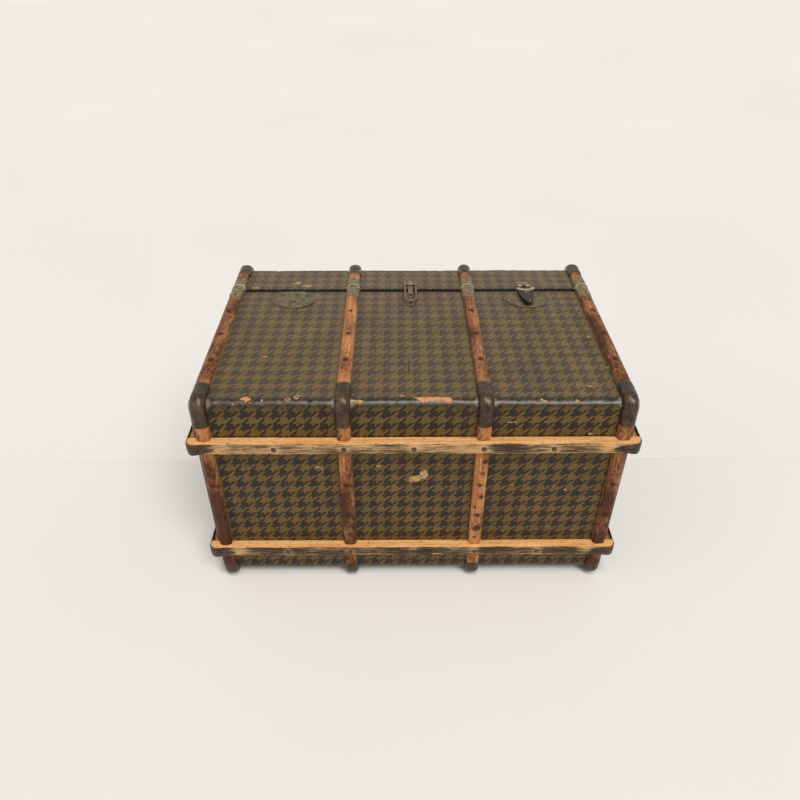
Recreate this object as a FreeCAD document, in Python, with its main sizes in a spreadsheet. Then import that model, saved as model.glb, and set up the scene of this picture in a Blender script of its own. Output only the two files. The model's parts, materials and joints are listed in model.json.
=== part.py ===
import FreeCAD, Part
import Sketcher
import math
import os
import re

# A travel trunk lying on its back: X along its length, Y from its bottom to the top of its lid, Z up
# from the floor to its front, where the locks are. Lengths are in millimetres.

SIZES = {
    # Carcass, measured over the canvas
    "canvas_length": 796,
    "canvas_depth": 441.5,
    "body_height": 407.5,
    "lid_height": 102,
    "rim_gap": 15,
    "edge_radius": 15,
    "end_radius": 5,
    "body_board": 9,
    "lid_board": 8,
    "board_rabbet": 4.5,
    "canvas_thickness": 1,
    "lining_thickness": 0.8,
    "valance_thickness": 3,
    "valance_margin": 3,
    "valance_rise": 24,
    # Slats and runners
    "slat_width": 25.5,
    "slat_thickness": 12,
    "slat_inset": 18.5,
    "seam_overhang": 2,
    "seam_clearance": 1.5,
    "back_setback": 8,
    "runner_width": 25,
    "runner_proud": 8.5,
    "runner_corner": 12,
    "front_runner_inset": 90.5,
    "back_runner_inset": 77,
    # Pressed metal over the wood
    "cap_thickness": 1.5,
    "bumper_leg": 60,
    "foot_leg": 45,
    "ferrule_length": 43,
    "lid_ferrule_length": 38,
    "runner_cap_length": 50,
    "runner_cap_taper": 36,
    "runner_cap_return": 45,
    # Nails
    "nail_head_radius": 3.5,
    "nail_head_height": 1.2,
    "nail_head_rounding": 1,
    "nail_shank_radius": 1.2,
    "nail_shank_length": 7,
    "first_nail_margin": 74,
    "last_nail_margin": 62.5,
    "bottom_nail_pitch": 80,
    "lid_nail_pitch": 115,
    # Butt hinges across the back
    "leaf_width": 60,
    "leaf_reach": 38,
    "leaf_thickness": 2,
    "hinge_radius": 4.5,
    "hinge_pin_radius": 2,
    "pin_clearance": 0.05,
    "knuckle_clearance": 0.4,
    "leaf_clearance": 0.6,
    # Lock plates and cases
    "lock_plate_width": 102,
    "lock_plate_height": 76,
    "lock_plate_thickness": 1.5,
    "lock_plate_centre_drop": 35,
    "lock_case_width": 50,
    "lock_case_above": 10,
    "lock_case_below": 24,
    "lock_case_depth": 14,
    "lock_case_wall": 1.2,
    # Hasp on the right lock
    "hasp_length": 86,
    "hasp_width": 34,
    "hasp_thickness": 2,
    "hasp_clearance": 0.6,
    "hasp_axis_inset": 3,
    "hasp_knuckle_radius": 3,
    "hasp_knuckle_length": 26,
    "hasp_pin_radius": 1.4,
    "hasp_bracket_length": 26,
    "hasp_lift_angle": 5,
    "nib_inset": 20,
    "nib_width": 9,
    "nib_thickness": 3,
    "nib_depth": 5,
    "nib_clearance": 1.5,
    # Loop hasp in the middle
    "loop_length": 94,
    "loop_width": 28,
    "loop_wire_radius": 2.2,
    "loop_corner": 5,
    "loop_axis_inset": 14,
    "loop_bracket_width": 32,
    "loop_bracket_length": 22,
    "loop_knuckle_length": 12,
    "loop_knuckle_wall": 1.5,
    "loop_lift_angle": 5,
    "bracket_thickness": 1.5,
    "staple_inset": 14,
    "staple_plate_length": 26,
    "staple_radius": 3.2,
    "staple_wire_radius": 1.3,
    # Leather handles on the ends
    "strap_width": 32,
    "strap_thickness": 7,
    "strap_rise": 24,
    "strap_foot": 26,
    "strap_margin": 28.5,
    "keeper_length": 16,
    "keeper_flange": 12,
    "keeper_thickness": 1.5,
    # Length by which a cutting shape passes the piece that it cuts
    "overrun": 20,
    # Largest difference between lengths that count as equal
    "tolerance": 0.00001,
}

LAYOUT = {
    # Heights above the floor
    "back_slat": "cap_thickness",
    "back_canvas": "back_slat + slat_thickness",
    "front_canvas": "back_canvas + canvas_depth",
    "front_slat": "front_canvas + slat_thickness",
    "front_cap": "front_slat + cap_thickness",
    "back_wood": "back_canvas + canvas_thickness",
    "front_wood": "front_canvas - canvas_thickness",
    "front_runner": "front_canvas - front_runner_inset",
    "back_runner": "back_canvas + back_runner_inset",
    "handle_middle": "(front_runner + back_runner) / 2",
    "strap_bow": "front_runner - back_runner - runner_width - 2 * (strap_foot + strap_margin)",
    # Places along Y, centred on the whole trunk
    "case_height": "body_height + rim_gap + lid_height",
    "outer_reach": "case_height / 2 + slat_thickness + runner_proud + cap_thickness",
    "bottom_canvas": "-case_height / 2",
    "bottom_slat": "bottom_canvas - slat_thickness",
    "bottom_runner": "bottom_slat - runner_proud",
    "body_rim": "bottom_canvas + body_height",
    "lid_rim": "body_rim + rim_gap",
    "lid_canvas_face": "lid_rim + lid_height",
    "lid_slat": "lid_canvas_face + slat_thickness",
    "lid_runner": "lid_slat + runner_proud",
    "body_seam": "body_rim + seam_overhang",
    "lid_seam": "body_seam + 2 * cap_thickness + seam_clearance",
    "first_nail": "bottom_slat + bumper_leg + first_nail_margin",
    "last_nail": "body_seam - ferrule_length - last_nail_margin",
    "slat_nail_pitch": "(last_nail - first_nail) / 2",
    "hinge_place": "(body_rim + lid_rim) / 2",
    "hinge_height": "back_canvas - hinge_radius",
    "hasp_axis_place": "lid_rim + hasp_axis_inset",
    "hasp_axis_height": "front_canvas + bracket_thickness + hasp_knuckle_radius",
    "loop_axis_place": "lid_rim + loop_axis_inset",
    "loop_knuckle_radius": "loop_wire_radius + pin_clearance + loop_knuckle_wall",
    "loop_axis_height": "front_canvas + loop_knuckle_radius",
    "nib_reach": "hasp_length - nib_inset",
    "nib_place": "hasp_axis_place - nib_reach",
    "valance_foot": "nib_place + lock_case_above + valance_margin",
    "staple_place": "loop_axis_place - loop_length + staple_inset",
    "handle_place": "(bottom_canvas + body_rim) / 2",
    # Places along X
    "end_canvas": "canvas_length / 2",
    "end_wood": "end_canvas - canvas_thickness",
    "end_slat": "end_canvas + slat_thickness",
    "slat_spacing": "(canvas_length - 2 * slat_inset) / 3",
    "lock_place": "slat_spacing",
    # Radii that follow the rounded edge outwards
    "slat_radius": "edge_radius + slat_thickness",
    "cap_radius": "slat_radius + cap_thickness",
    "wood_edge_radius": "edge_radius - canvas_thickness",
    "wood_end_radius": "end_radius - canvas_thickness",
    "runner_cap_corner": "runner_corner + cap_thickness",
}

# Places of the slats and hinges along X, in shares of the slat spacing
SLAT_SHARES = (-1.5, -0.5, 0.5, 1.5)
HINGE_SHARES = (-1, 0, 1)

doc = FreeCAD.newDocument("travel_trunk")
sizes = doc.addObject("Spreadsheet::Sheet", "Sizes")
layout = doc.addObject("Spreadsheet::Sheet", "Layout")
nodes = {}


def formula(text, own=()):
    """Put before each size name the sheet that holds it, apart from names of the sheet itself."""
    def with_sheet(match):
        word = match.group(0)
        if word in SIZES:
            return "Sizes." + word
        return "Layout." + word if word in LAYOUT and word not in own else word
    return re.sub(r"[a-z][a-z_]*", with_sheet, text)


def fill_sheets():
    """Write the driving sizes as plain numbers and the worked-out places as formulas."""
    for row, (name, number) in enumerate(SIZES.items(), start=1):
        sizes.set(f"A{row}", name)
        sizes.set(f"B{row}", str(number))
        sizes.setAlias(f"B{row}", name)
    doc.recompute()
    for row, (name, text) in enumerate(LAYOUT.items(), start=1):
        layout.set(f"A{row}", name)
        layout.setAlias(f"B{row}", name)
        layout.set(f"B{row}", "=" + formula(text, own=LAYOUT))
    doc.recompute()


def value(text):
    """The number that a formula gives now."""
    return float(sizes.evalExpression(formula(text)))


def bind(piece, prop, text):
    piece.setExpression(prop, formula(text))


def place(piece, x, y, z):
    """Tie a piece's position to three formulas."""
    for axis, text in zip("xyz", (x, y, z)):
        bind(piece, f"Placement.Base.{axis}", text)
    return piece


def node(name, piece):
    """Name a finished sub-part."""
    piece.Label = name
    nodes[name] = piece
    return piece


def block(x, y, z):
    """A block between a low and a high formula on each axis."""
    piece = doc.addObject("Part::Box", "block")
    for prop, (low, high) in zip(("Length", "Width", "Height"), (x, y, z)):
        bind(piece, prop, f"({high}) - ({low})")
    return place(piece, x[0], y[0], z[0])


def rod(radius, x, y, z):
    """A round bar along the axis that has a low and a high formula, centred on the other two."""
    turns = {"x": FreeCAD.Rotation(0, 90, 0), "y": FreeCAD.Rotation(0, 0, -90), "z": FreeCAD.Rotation()}
    spans = {"x": x, "y": y, "z": z}
    axis = next(name for name, span in spans.items() if isinstance(span, tuple))
    low, high = spans[axis]
    spans[axis] = low
    piece = doc.addObject("Part::Cylinder", "rod")
    bind(piece, "Radius", radius)
    bind(piece, "Height", f"({high}) - ({low})")
    piece.Placement = FreeCAD.Placement(FreeCAD.Vector(), turns[axis])
    return place(piece, **spans)


def bend(ring_radius, wire_radius, turn, x, y, z, sweep):
    """A part of a round wire ring, swept by an angle about its own axis from its own X."""
    piece = doc.addObject("Part::Torus", "bend")
    bind(piece, "Radius1", ring_radius)
    bind(piece, "Radius2", wire_radius)
    piece.Angle3 = sweep
    piece.Placement = FreeCAD.Placement(FreeCAD.Vector(), turn)
    return place(piece, x, y, z)


def cut(piece, *tools):
    for tool in tools:
        result = doc.addObject("Part::Cut", "cut")
        result.Base, result.Tool = piece, tool
        piece = result
    return piece


def common(piece, *others):
    for other in others:
        result = doc.addObject("Part::Common", "common")
        result.Base, result.Tool = piece, other
        piece = result
    return piece


def fuse(*pieces):
    result = doc.addObject("Part::MultiFuse", "fuse")
    result.Shapes = list(pieces)
    return result


def group(*pieces):
    result = doc.addObject("Part::Compound", "group")
    result.Links = list(pieces)
    return result


def mirrored(piece):
    """The same piece on the other end of the trunk."""
    result = doc.addObject("Part::Mirroring", "mirrored")
    result.Source = piece
    result.Normal = FreeCAD.Vector(1, 0, 0)
    return result


def both_ends(piece):
    return group(piece, mirrored(piece))


def outline(body, plane, corners):
    """A closed sketch of sides along the plane's axes; a corner with a radius is rounded."""
    sketch = body.newObject("Sketcher::SketchObject", "outline")
    support = next(item for item in body.Origin.OriginFeatures if item.Role == plane)
    sketch.AttachmentSupport = (support, [""])
    sketch.MapMode = "FlatFace"
    points = [FreeCAD.Vector(value(u), value(v), 0) for u, v, _ in corners]
    radii = [value(radius) if radius else 0 for _, _, radius in corners]
    count = len(corners)
    ahead = [(points[(i + 1) % count] - points[i]).normalize() for i in range(count)]
    for i in range(count):
        after = (i + 1) % count
        start = points[i] + ahead[i] * radii[i]
        end = points[after] - ahead[i] * radii[after]
        sketch.addGeometry(Part.LineSegment(start, end), False)
    limits = []
    for i in range(count):
        across = 0 if abs(ahead[i].y) > abs(ahead[i].x) else 1
        sketch.addConstraint(Sketcher.Constraint("Horizontal" if across else "Vertical", i))
        if points[i][across] == 0:
            sketch.addConstraint(Sketcher.Constraint("PointOnObject", i, 1, -1 if across else -2))
            continue
        kind = "DistanceY" if across else "DistanceX"
        index = sketch.addConstraint(Sketcher.Constraint(kind, -1, 1, i, 1, points[i][across]))
        limits.append((index, corners[i][across]))
    for i in range(count):
        if not radii[i]:
            sketch.addConstraint(Sketcher.Constraint("Coincident", i - 1 if i else count - 1, 2, i, 1))
            continue
        before = ahead[i - 1]
        centre = points[i] + (ahead[i] - before) * radii[i]
        left = before.x * ahead[i].y - before.y * ahead[i].x > 0
        first, last = (-ahead[i], before) if left else (before, -ahead[i])
        angles = [math.atan2(ray.y, ray.x) for ray in (first, last)]
        circle = Part.Circle(centre, FreeCAD.Vector(0, 0, 1), radii[i])
        arc = sketch.addGeometry(Part.ArcOfCircle(circle, *angles), False)
        arrive, leave = (1, 2) if left else (2, 1)
        sketch.addConstraint(Sketcher.Constraint("Tangent", (i - 1) % count, 2, arc, arrive))
        sketch.addConstraint(Sketcher.Constraint("Tangent", arc, leave, i, 1))
        index = sketch.addConstraint(Sketcher.Constraint("Radius", arc, radii[i]))
        limits.append((index, corners[i][2]))
    for index, text in limits:
        bind(sketch, f"Constraints[{index}]", text)
    return sketch


def prism(name, plane, corners, length):
    """A body drawn evenly to both sides of a plane from a rounded outline."""
    body = doc.addObject("PartDesign::Body", name)
    pad = body.newObject("PartDesign::Pad", "pad")
    pad.Profile = outline(body, plane, corners)
    pad.SideType = "Symmetric"
    bind(pad, "Length", length)
    doc.recompute()
    return body


def frame_outline(low_y, high_y, low_z, high_z, radius):
    corners = ((low_y, low_z), (high_y, low_z), (high_y, high_z), (low_y, high_z))
    return [(y, z, radius) for y, z in corners]


def filled_case(name, closed, rim, inset, edge, end):
    """A solid case with rounded long edges on its closed side and eased ends."""
    low, high = f"back_canvas + {inset}", f"front_canvas - {inset}"
    corners = [(closed, low, edge), (rim, low, None), (rim, high, None), (closed, high, edge)]
    body = prism(name, "YZ_Plane", corners, f"canvas_length - 2 * {inset}")
    pad = body.Tip
    rim_place, tolerance = value(rim), value("tolerance")
    names = []
    for index, line in enumerate(pad.Shape.Edges, start=1):
        box = line.BoundBox
        at_rim = abs(box.YMin - rim_place) + abs(box.YMax - rim_place) < tolerance
        if box.XLength < tolerance and not at_rim:
            names.append(f"Edge{index}")
    fillet = body.newObject("PartDesign::Fillet", "eased_ends")
    fillet.Base = (pad, names)
    bind(fillet, "Radius", end)
    doc.recompute()
    return body


def slat_span(step, extra="0"):
    """The low and high X of the slat at a step of the spacing, widened to each side."""
    half = f"slat_width / 2 + {extra}"
    return f"{step} * slat_spacing - ({half})", f"{step} * slat_spacing + {half}"


def runner_span(centre):
    return f"{centre} - runner_width / 2", f"{centre} + runner_width / 2"


def carcass(prefix, filled, face_name, face, rim_span, board):
    """Boards of a case, rabbeted: the face board into all four others, the ends into front and back."""
    inner_x = f"end_wood - {board}"
    inner_back, inner_front = f"back_wood + {board}", f"front_wood - {board}"
    tongue_x = (f"-({inner_x} + board_rabbet)", f"{inner_x} + board_rabbet")
    tongue_z = (f"{inner_back} - board_rabbet", f"{inner_front} + board_rabbet")
    whole_x = ("-end_canvas", "end_canvas")
    face_board = common(filled, block(tongue_x, face, tongue_z))
    right = cut(common(filled, block((inner_x, "end_wood"), rim_span, tongue_z)), face_board)
    left = cut(common(filled, block(("-end_wood", f"-({inner_x})"), rim_span, tongue_z)), face_board)
    others = group(face_board, left, right)
    front = cut(common(filled, block(whole_x, rim_span, (inner_front, "front_wood"))), others)
    back = cut(common(filled, block(whole_x, rim_span, ("back_wood", inner_back))), others)
    node(f"{prefix}_{face_name}_board", face_board)
    node(f"{prefix}_back_board", back)
    return front, left, right


def lining(x, y, z, open_y):
    """A thin cloth tray: a block less its inside, which runs out past the open side."""
    inside = [(f"{low} + lining_thickness", f"{high} - lining_thickness") for low, high in (x, z)]
    return cut(block(x, y, z), block(inside[0], open_y, inside[1]))


def make_body_case():
    """Boards, canvas, lining and dust rim of the trunk's body."""
    outer = filled_case("body_outside", "bottom_canvas", "body_rim", "0", "edge_radius", "end_radius")
    wood = filled_case("body_wood", "bottom_canvas + canvas_thickness", "body_rim", "canvas_thickness",
                       "wood_edge_radius", "wood_end_radius")
    floor_in = "bottom_canvas + canvas_thickness + body_board"
    front, left, right = carcass("body", wood, "bottom", ("bottom_canvas", floor_in),
                                 ("bottom_canvas", "body_rim"), "body_board")
    locks = both_ends(lock_block("0"))
    node("body_front_board", cut(front, locks))
    node("body_left_board", left)
    node("body_right_board", right)
    node("body_canvas", cut(outer, wood, locks))
    x = ("-(end_wood - body_board)", "end_wood - body_board")
    z = ("back_wood + body_board", "front_wood - body_board")
    top = "valance_foot"
    tray = lining(x, (floor_in, top), z, (f"{floor_in} + lining_thickness", f"{top} + overrun"))
    node("body_lining", cut(tray, locks))
    rise = (top, "body_rim + valance_rise")
    low, high = f"{z[0]} + valance_thickness", f"{z[1]} - valance_thickness"
    side = block((f"{x[1]} - valance_thickness", x[1]), rise, (low, high))
    node("dust_rim", group(block(x, rise, (z[0], low)), block(x, rise, (high, z[1])), both_ends(side)))
    return outer


def make_lid_case():
    """Boards, canvas and lining of the lid."""
    outer = filled_case("lid_outside", "lid_canvas_face", "lid_rim", "0", "edge_radius", "end_radius")
    wood = filled_case("lid_wood", "lid_canvas_face - canvas_thickness", "lid_rim", "canvas_thickness",
                       "wood_edge_radius", "wood_end_radius")
    roof_in = "lid_canvas_face - canvas_thickness - lid_board"
    front, left, right = carcass("lid", wood, "top", (roof_in, "lid_canvas_face"),
                                 ("lid_rim", "lid_canvas_face"), "lid_board")
    node("lid_front_board", front)
    node("lid_end_boards", group(left, right))
    node("lid_canvas", cut(outer, wood))
    x = ("-(end_wood - lid_board)", "end_wood - lid_board")
    z = ("back_wood + lid_board", "front_wood - lid_board")
    start = "body_rim + valance_rise + seam_clearance"
    inside = (f"{start} - overrun", f"{roof_in} - lining_thickness")
    node("lid_lining", lining(x, (start, roof_in), z, inside))
    return outer


def make_slats(rounded):
    """Slats girdling the trunk in four hoops, cut by the mouth; the corner ends follow the rounded edge."""
    front, back = ("front_canvas", "front_slat"), ("back_slat", "back_canvas")
    upright = ("back_canvas", "front_canvas")
    bottoms = []
    lid_parts = {"front": [], "top": [], "back": []}
    backs = []
    for number, step in enumerate(SLAT_SHARES, start=1):
        x = slat_span(step)
        node(f"front_slat_{number}", common(block(x, ("bottom_slat", "body_seam"), front), rounded))
        bottoms.append(common(block(x, ("bottom_slat", "bottom_canvas"), upright), rounded))
        node(f"bottom_slat_{number}", bottoms[-1])
        backs.append(common(block(x, ("bottom_slat", "body_rim - back_setback"), back), rounded))
        lid_parts["front"].append(common(block(x, ("lid_seam", "lid_slat"), front), rounded))
        lid_parts["top"].append(common(block(x, ("lid_canvas_face", "lid_slat"), upright), rounded))
        lid_parts["back"].append(common(block(x, ("lid_rim + back_setback", "lid_slat"), back), rounded))
    node("back_slats", group(*backs))
    for name, parts in lid_parts.items():
        node(f"lid_{name}_slats", group(*parts))
    return bottoms, lid_parts["top"]


def make_runners(bottoms, tops, rounded):
    """Runners notched over the cross slats, and the end slats that carry on from their ends."""
    whole_x = ("-end_slat", "end_slat")
    lid_runners = []
    end_x = ("end_canvas", "end_slat")
    body_ends, lid_ends = [], []
    for name, centre in (("front", "front_runner"), ("back", "back_runner")):
        z = runner_span(centre)
        bar = common(block(whole_x, ("bottom_runner", "bottom_canvas"), z), rounded)
        node(f"{name}_runner", cut(bar, *bottoms))
        bar = common(block(whole_x, ("lid_canvas_face", "lid_runner"), z), rounded)
        lid_runners.append(cut(bar, *tops))
        body_ends.append(block(end_x, ("bottom_canvas", "body_seam"), z))
        lid_ends.append(block(end_x, ("lid_seam", "lid_canvas_face"), z))
    node("lid_runners", group(*lid_runners))
    right = group(*body_ends)
    node("right_end_slats", right)
    node("left_end_slats", mirrored(right))
    node("lid_end_slats", both_ends(group(*lid_ends)))


def make_bumpers(rounded, capped, body_case, lid_case):
    """Pressed caps over the slat corners: a skin over the slat's end and two flanges down to the canvas."""
    wood = group(*[common(block(slat_span(step), ("bottom_slat", "lid_slat"), ("back_slat", "front_slat")),
                          rounded) for step in SLAT_SHARES])
    front = ("front_slat - bumper_leg", "front_cap")
    foot = ("0", "back_slat + foot_leg")
    near = "bottom_slat - cap_thickness"
    far = "lid_slat + cap_thickness"
    corners = {
        "front_bumpers": ((near, "bottom_slat + bumper_leg"), front, body_case),
        "back_bumpers": ((near, "bottom_slat + foot_leg"), foot, body_case),
        "lid_front_bumpers": (("lid_slat - bumper_leg", far), front, lid_case),
        "lid_back_bumpers": (("lid_slat - foot_leg", far), foot, lid_case),
    }
    for name, (y, z, case) in corners.items():
        blanks = group(*[block(slat_span(step, "cap_thickness"), y, z) for step in SLAT_SHARES])
        node(name, cut(common(blanks, capped), wood, case))


def sleeve(x, y, z, core_x, core_y, core_z):
    """A thin cap: a block less the wood that it covers."""
    return cut(block(x, y, z), block(core_x, core_y, core_z))


def make_ferrules():
    """Brass caps on the slat ends where body and lid meet."""
    spans = {
        "body_ferrules": (("body_seam - ferrule_length", "body_seam + cap_thickness"),
                          ("body_seam - ferrule_length - overrun", "body_seam")),
        "lid_ferrules": (("lid_seam - cap_thickness", "lid_seam + lid_ferrule_length"),
                         ("lid_seam", "lid_seam + lid_ferrule_length + overrun")),
    }
    for name, (y, core_y) in spans.items():
        caps = [sleeve(slat_span(step, "cap_thickness"), y, ("front_canvas", "front_cap"),
                       slat_span(step), core_y, ("front_canvas - overrun", "front_slat"))
                for step in SLAT_SHARES]
        for centre in ("front_runner", "back_runner"):
            low, high = runner_span(centre)
            end = sleeve(("end_canvas", "end_slat + cap_thickness"), y,
                         (f"{low} - cap_thickness", f"{high} + cap_thickness"),
                         ("end_canvas - overrun", "end_slat"), core_y, (low, high))
            caps += [end, mirrored(end)]
        node(name, group(*caps))


def make_runner_caps(rounded, capped):
    """Iron straps bent round the runner ends: a pointed tongue on the runner, a square end on the slat."""
    skin = cut(capped, rounded)
    arc = "(runner_cap_taper ^ 2 / runner_width + runner_width / 4)"
    reach = "end_slat - runner_cap_length + runner_cap_taper"
    sides = {
        "runner_caps": ("bottom_runner - cap_thickness", "bottom_canvas + runner_cap_return"),
        "lid_runner_caps": ("lid_canvas_face - runner_cap_return", "lid_runner + cap_thickness"),
    }
    for name, y in sides.items():
        caps = []
        for centre in ("front_runner", "back_runner"):
            low, high = runner_span(centre)
            point = common(rod(arc, reach, y, f"{high} - {arc}"), rod(arc, reach, y, f"{low} + {arc}"))
            square = block((reach, "end_slat + cap_thickness"), y, (low, high))
            caps.append(common(fuse(point, square), skin))
        node(name, both_ends(group(*caps)))


def lock_block(wall):
    """The space of the right lock case, less a wall all round."""
    half = f"lock_case_width / 2 - {wall}"
    return block((f"lock_place - ({half})", f"lock_place + {half}"),
                 (f"nib_place - lock_case_below + {wall}", f"nib_place + lock_case_above - {wall}"),
                 (f"front_canvas - lock_case_depth + {wall}", f"front_canvas - {wall}"))


def nib_slot():
    """The slot that the hasp's nib drops into, through the plate and the case's top."""
    half_x = "nib_width / 2 + nib_clearance"
    half_y = "nib_thickness / 2 + nib_clearance"
    return block((f"lock_place - ({half_x})", f"lock_place + {half_x}"),
                 (f"nib_place - ({half_y})", f"nib_place + {half_y}"),
                 ("front_canvas - lock_case_depth / 2", "front_canvas + overrun"))


def make_locks():
    """Two hollow lock cases let into the front board, each under a pointed oval plate."""
    case = cut(lock_block("0"), lock_block("lock_case_wall"), nib_slot())
    arc = "(lock_plate_width ^ 2 / (4 * lock_plate_height) + lock_plate_height / 4)"
    centre = "body_rim - lock_plate_centre_drop"
    z = ("front_canvas", "front_canvas + lock_plate_thickness")
    shift = f"({arc} - lock_plate_height / 2)"
    oval = common(rod(arc, "lock_place", f"{centre} + {shift}", z),
                  rod(arc, "lock_place", f"{centre} - {shift}", z))
    below = block(("lock_place - lock_plate_width", "lock_place + lock_plate_width"),
                  ("bottom_canvas", "body_rim"), z)
    plate = cut(common(oval, below), nib_slot())
    node("right_lock_case", case)
    node("left_lock_case", mirrored(case))
    node("right_lock_plate", plate)
    node("left_lock_plate", mirrored(plate))


def make_hinges():
    """Three butt hinges across the back; the lid's leaf holds the middle knuckle and the pin."""
    third = "leaf_width / 3"
    flat = ("back_canvas - leaf_thickness", "back_canvas")
    body_leaves, lid_leaves, pins = [], [], []
    for step in HINGE_SHARES:
        middle = f"{step} * slat_spacing"
        low, high = f"{middle} - leaf_width / 2", f"{middle} + leaf_width / 2"
        bore = rod("hinge_pin_radius + pin_clearance", (f"{low} - overrun", f"{high} + overrun"),
                   "hinge_place", "hinge_height")
        spans = ((low, f"{low} + {third} - knuckle_clearance"),
                 (f"{high} - {third} + knuckle_clearance", high))
        reach = ("hinge_place - leaf_reach", "hinge_place - hinge_radius - leaf_clearance")
        parts = [block((low, high), reach, flat)]
        for span in spans:
            parts.append(rod("hinge_radius", span, "hinge_place", "hinge_height"))
            parts.append(block(span, (reach[0], "hinge_place"), flat))
        body_leaves.append(cut(fuse(*parts), bore))
        span = (f"{low} + {third}", f"{high} - {third}")
        reach = ("hinge_place + hinge_radius + leaf_clearance", "hinge_place + leaf_reach")
        lid_leaves.append(cut(fuse(block((low, high), reach, flat),
                                   rod("hinge_radius", span, "hinge_place", "hinge_height"),
                                   block(span, ("hinge_place", reach[1]), flat)), bore))
        pins.append(rod("hinge_pin_radius", (low, high), "hinge_place", "hinge_height"))
    node("body_hinge_leaves", group(*body_leaves))
    node("lid_hinge_leaves", group(*lid_leaves))
    half = "hasp_knuckle_length / 2"
    pins.append(rod("hasp_pin_radius", (f"lock_place - {half}", f"lock_place + {half}"),
                    "hasp_axis_place", "hasp_axis_height"))
    node("hinge_pins", group(*pins))


def make_hasp():
    """A pointed hasp with a nib under it, lifted a little off the lock, and its bracket on the lid."""
    third = "hasp_knuckle_length / 3"
    half = "hasp_knuckle_length / 2"
    bore = rod("hasp_pin_radius + pin_clearance", (f"-{half} - overrun", f"{half} + overrun"), "0", "0")
    under = "-(hasp_knuckle_radius + bracket_thickness) + lock_plate_thickness + hasp_clearance"
    flat = (under, f"{under} + hasp_thickness")
    arc = "(hasp_length ^ 2 / hasp_width + hasp_width / 4)"
    leaf = common(rod(arc, f"hasp_width / 2 - {arc}", "0", flat),
                  rod(arc, f"{arc} - hasp_width / 2", "0", flat),
                  block(("-hasp_width", "hasp_width"),
                        ("-hasp_length", "-hasp_knuckle_radius - leaf_clearance"), flat))
    middle = (f"-{third} / 2 + knuckle_clearance", f"{third} / 2 - knuckle_clearance")
    nib = block(("-nib_width / 2", "nib_width / 2"),
                ("-nib_reach - nib_thickness / 2", "-nib_reach + nib_thickness / 2"),
                (f"{under} - nib_depth", f"{under} + hasp_thickness"))
    neck = block(middle, ("-hasp_length / 2", "0"), flat)
    hasp = cut(fuse(leaf, nib, neck, rod("hasp_knuckle_radius", middle, "0", "0")), bore)
    hasp.Placement = FreeCAD.Placement(FreeCAD.Vector(), FreeCAD.Rotation(FreeCAD.Vector(-1, 0, 0), 0))
    bind(hasp, "Placement.Rotation.Angle", "hasp_lift_angle")
    node("hasp", place(hasp, "lock_place", "hasp_axis_place", "hasp_axis_height"))
    foot = ("-(hasp_knuckle_radius + bracket_thickness)", "-hasp_knuckle_radius")
    sole = ("hasp_knuckle_radius + leaf_clearance", "hasp_bracket_length")
    parts = [block((f"-{half}", half), sole, foot)]
    for span in ((f"-{half}", f"-{third} / 2"), (f"{third} / 2", half)):
        parts.append(rod("hasp_knuckle_radius", span, "0", "0"))
        parts.append(block(span, ("0", "hasp_bracket_length"), (foot[0], "-hasp_pin_radius * 2")))
    bracket = cut(fuse(*parts), bore)
    node("hasp_bracket", place(bracket, "lock_place", "hasp_axis_place", "hasp_axis_height"))


def make_loop():
    """A bent wire loop on a curled bracket of the lid, and the staple that it drops over."""
    half = "(loop_width / 2 - loop_wire_radius)"
    tail = "(loop_length - loop_wire_radius - loop_width / 2)"
    wire = "loop_wire_radius"
    flat = FreeCAD.Rotation()
    straight = f"({half} - loop_corner)"
    parts = [rod(wire, (f"-{straight}", straight), "0", "0")]
    for side in ("-", ""):
        parts.append(rod(wire, f"{side}{half}", (f"-{tail}", "-loop_corner"), "0"))
    parts.append(bend("loop_corner", wire, flat, straight, "-loop_corner", "0", 90))
    turned = FreeCAD.Rotation(90, 0, 0)
    parts.append(bend("loop_corner", wire, turned, f"-{straight}", "-loop_corner", "0", 90))
    parts.append(bend(half, wire, FreeCAD.Rotation(180, 0, 0), "0", f"-{tail}", "0", 180))
    loop = fuse(*parts)
    loop.Placement = FreeCAD.Placement(FreeCAD.Vector(), FreeCAD.Rotation(FreeCAD.Vector(-1, 0, 0), 0))
    bind(loop, "Placement.Rotation.Angle", "loop_lift_angle")
    node("loop_hasp", place(loop, "0", "loop_axis_place", "loop_axis_height"))
    knuckle = ("-loop_knuckle_length / 2", "loop_knuckle_length / 2")
    sole = ("front_canvas", "front_canvas + bracket_thickness")
    clear = "loop_axis_place + loop_knuckle_radius"
    rear = "loop_axis_place + loop_bracket_length"
    bracket = fuse(block(("-loop_bracket_width / 2", "loop_bracket_width / 2"), (clear, rear), sole),
                   block(knuckle, ("loop_axis_place", rear), sole),
                   rod("loop_knuckle_radius", knuckle, "loop_axis_place", "loop_axis_height"))
    bore = rod("loop_wire_radius + pin_clearance", ("-loop_width", "loop_width"),
               "loop_axis_place", "loop_axis_height")
    node("loop_bracket", cut(bracket, bore))
    low = "staple_place - staple_plate_length / 2"
    eye = bend("staple_radius", "staple_wire_radius", FreeCAD.Rotation(0, 0, 90), "0", "staple_place",
               sole[1], 180)
    plate = block(("-loop_width / 4", "loop_width / 4"), (low, f"{low} + staple_plate_length"), sole)
    node("loop_staple", fuse(plate, eye))


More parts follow.
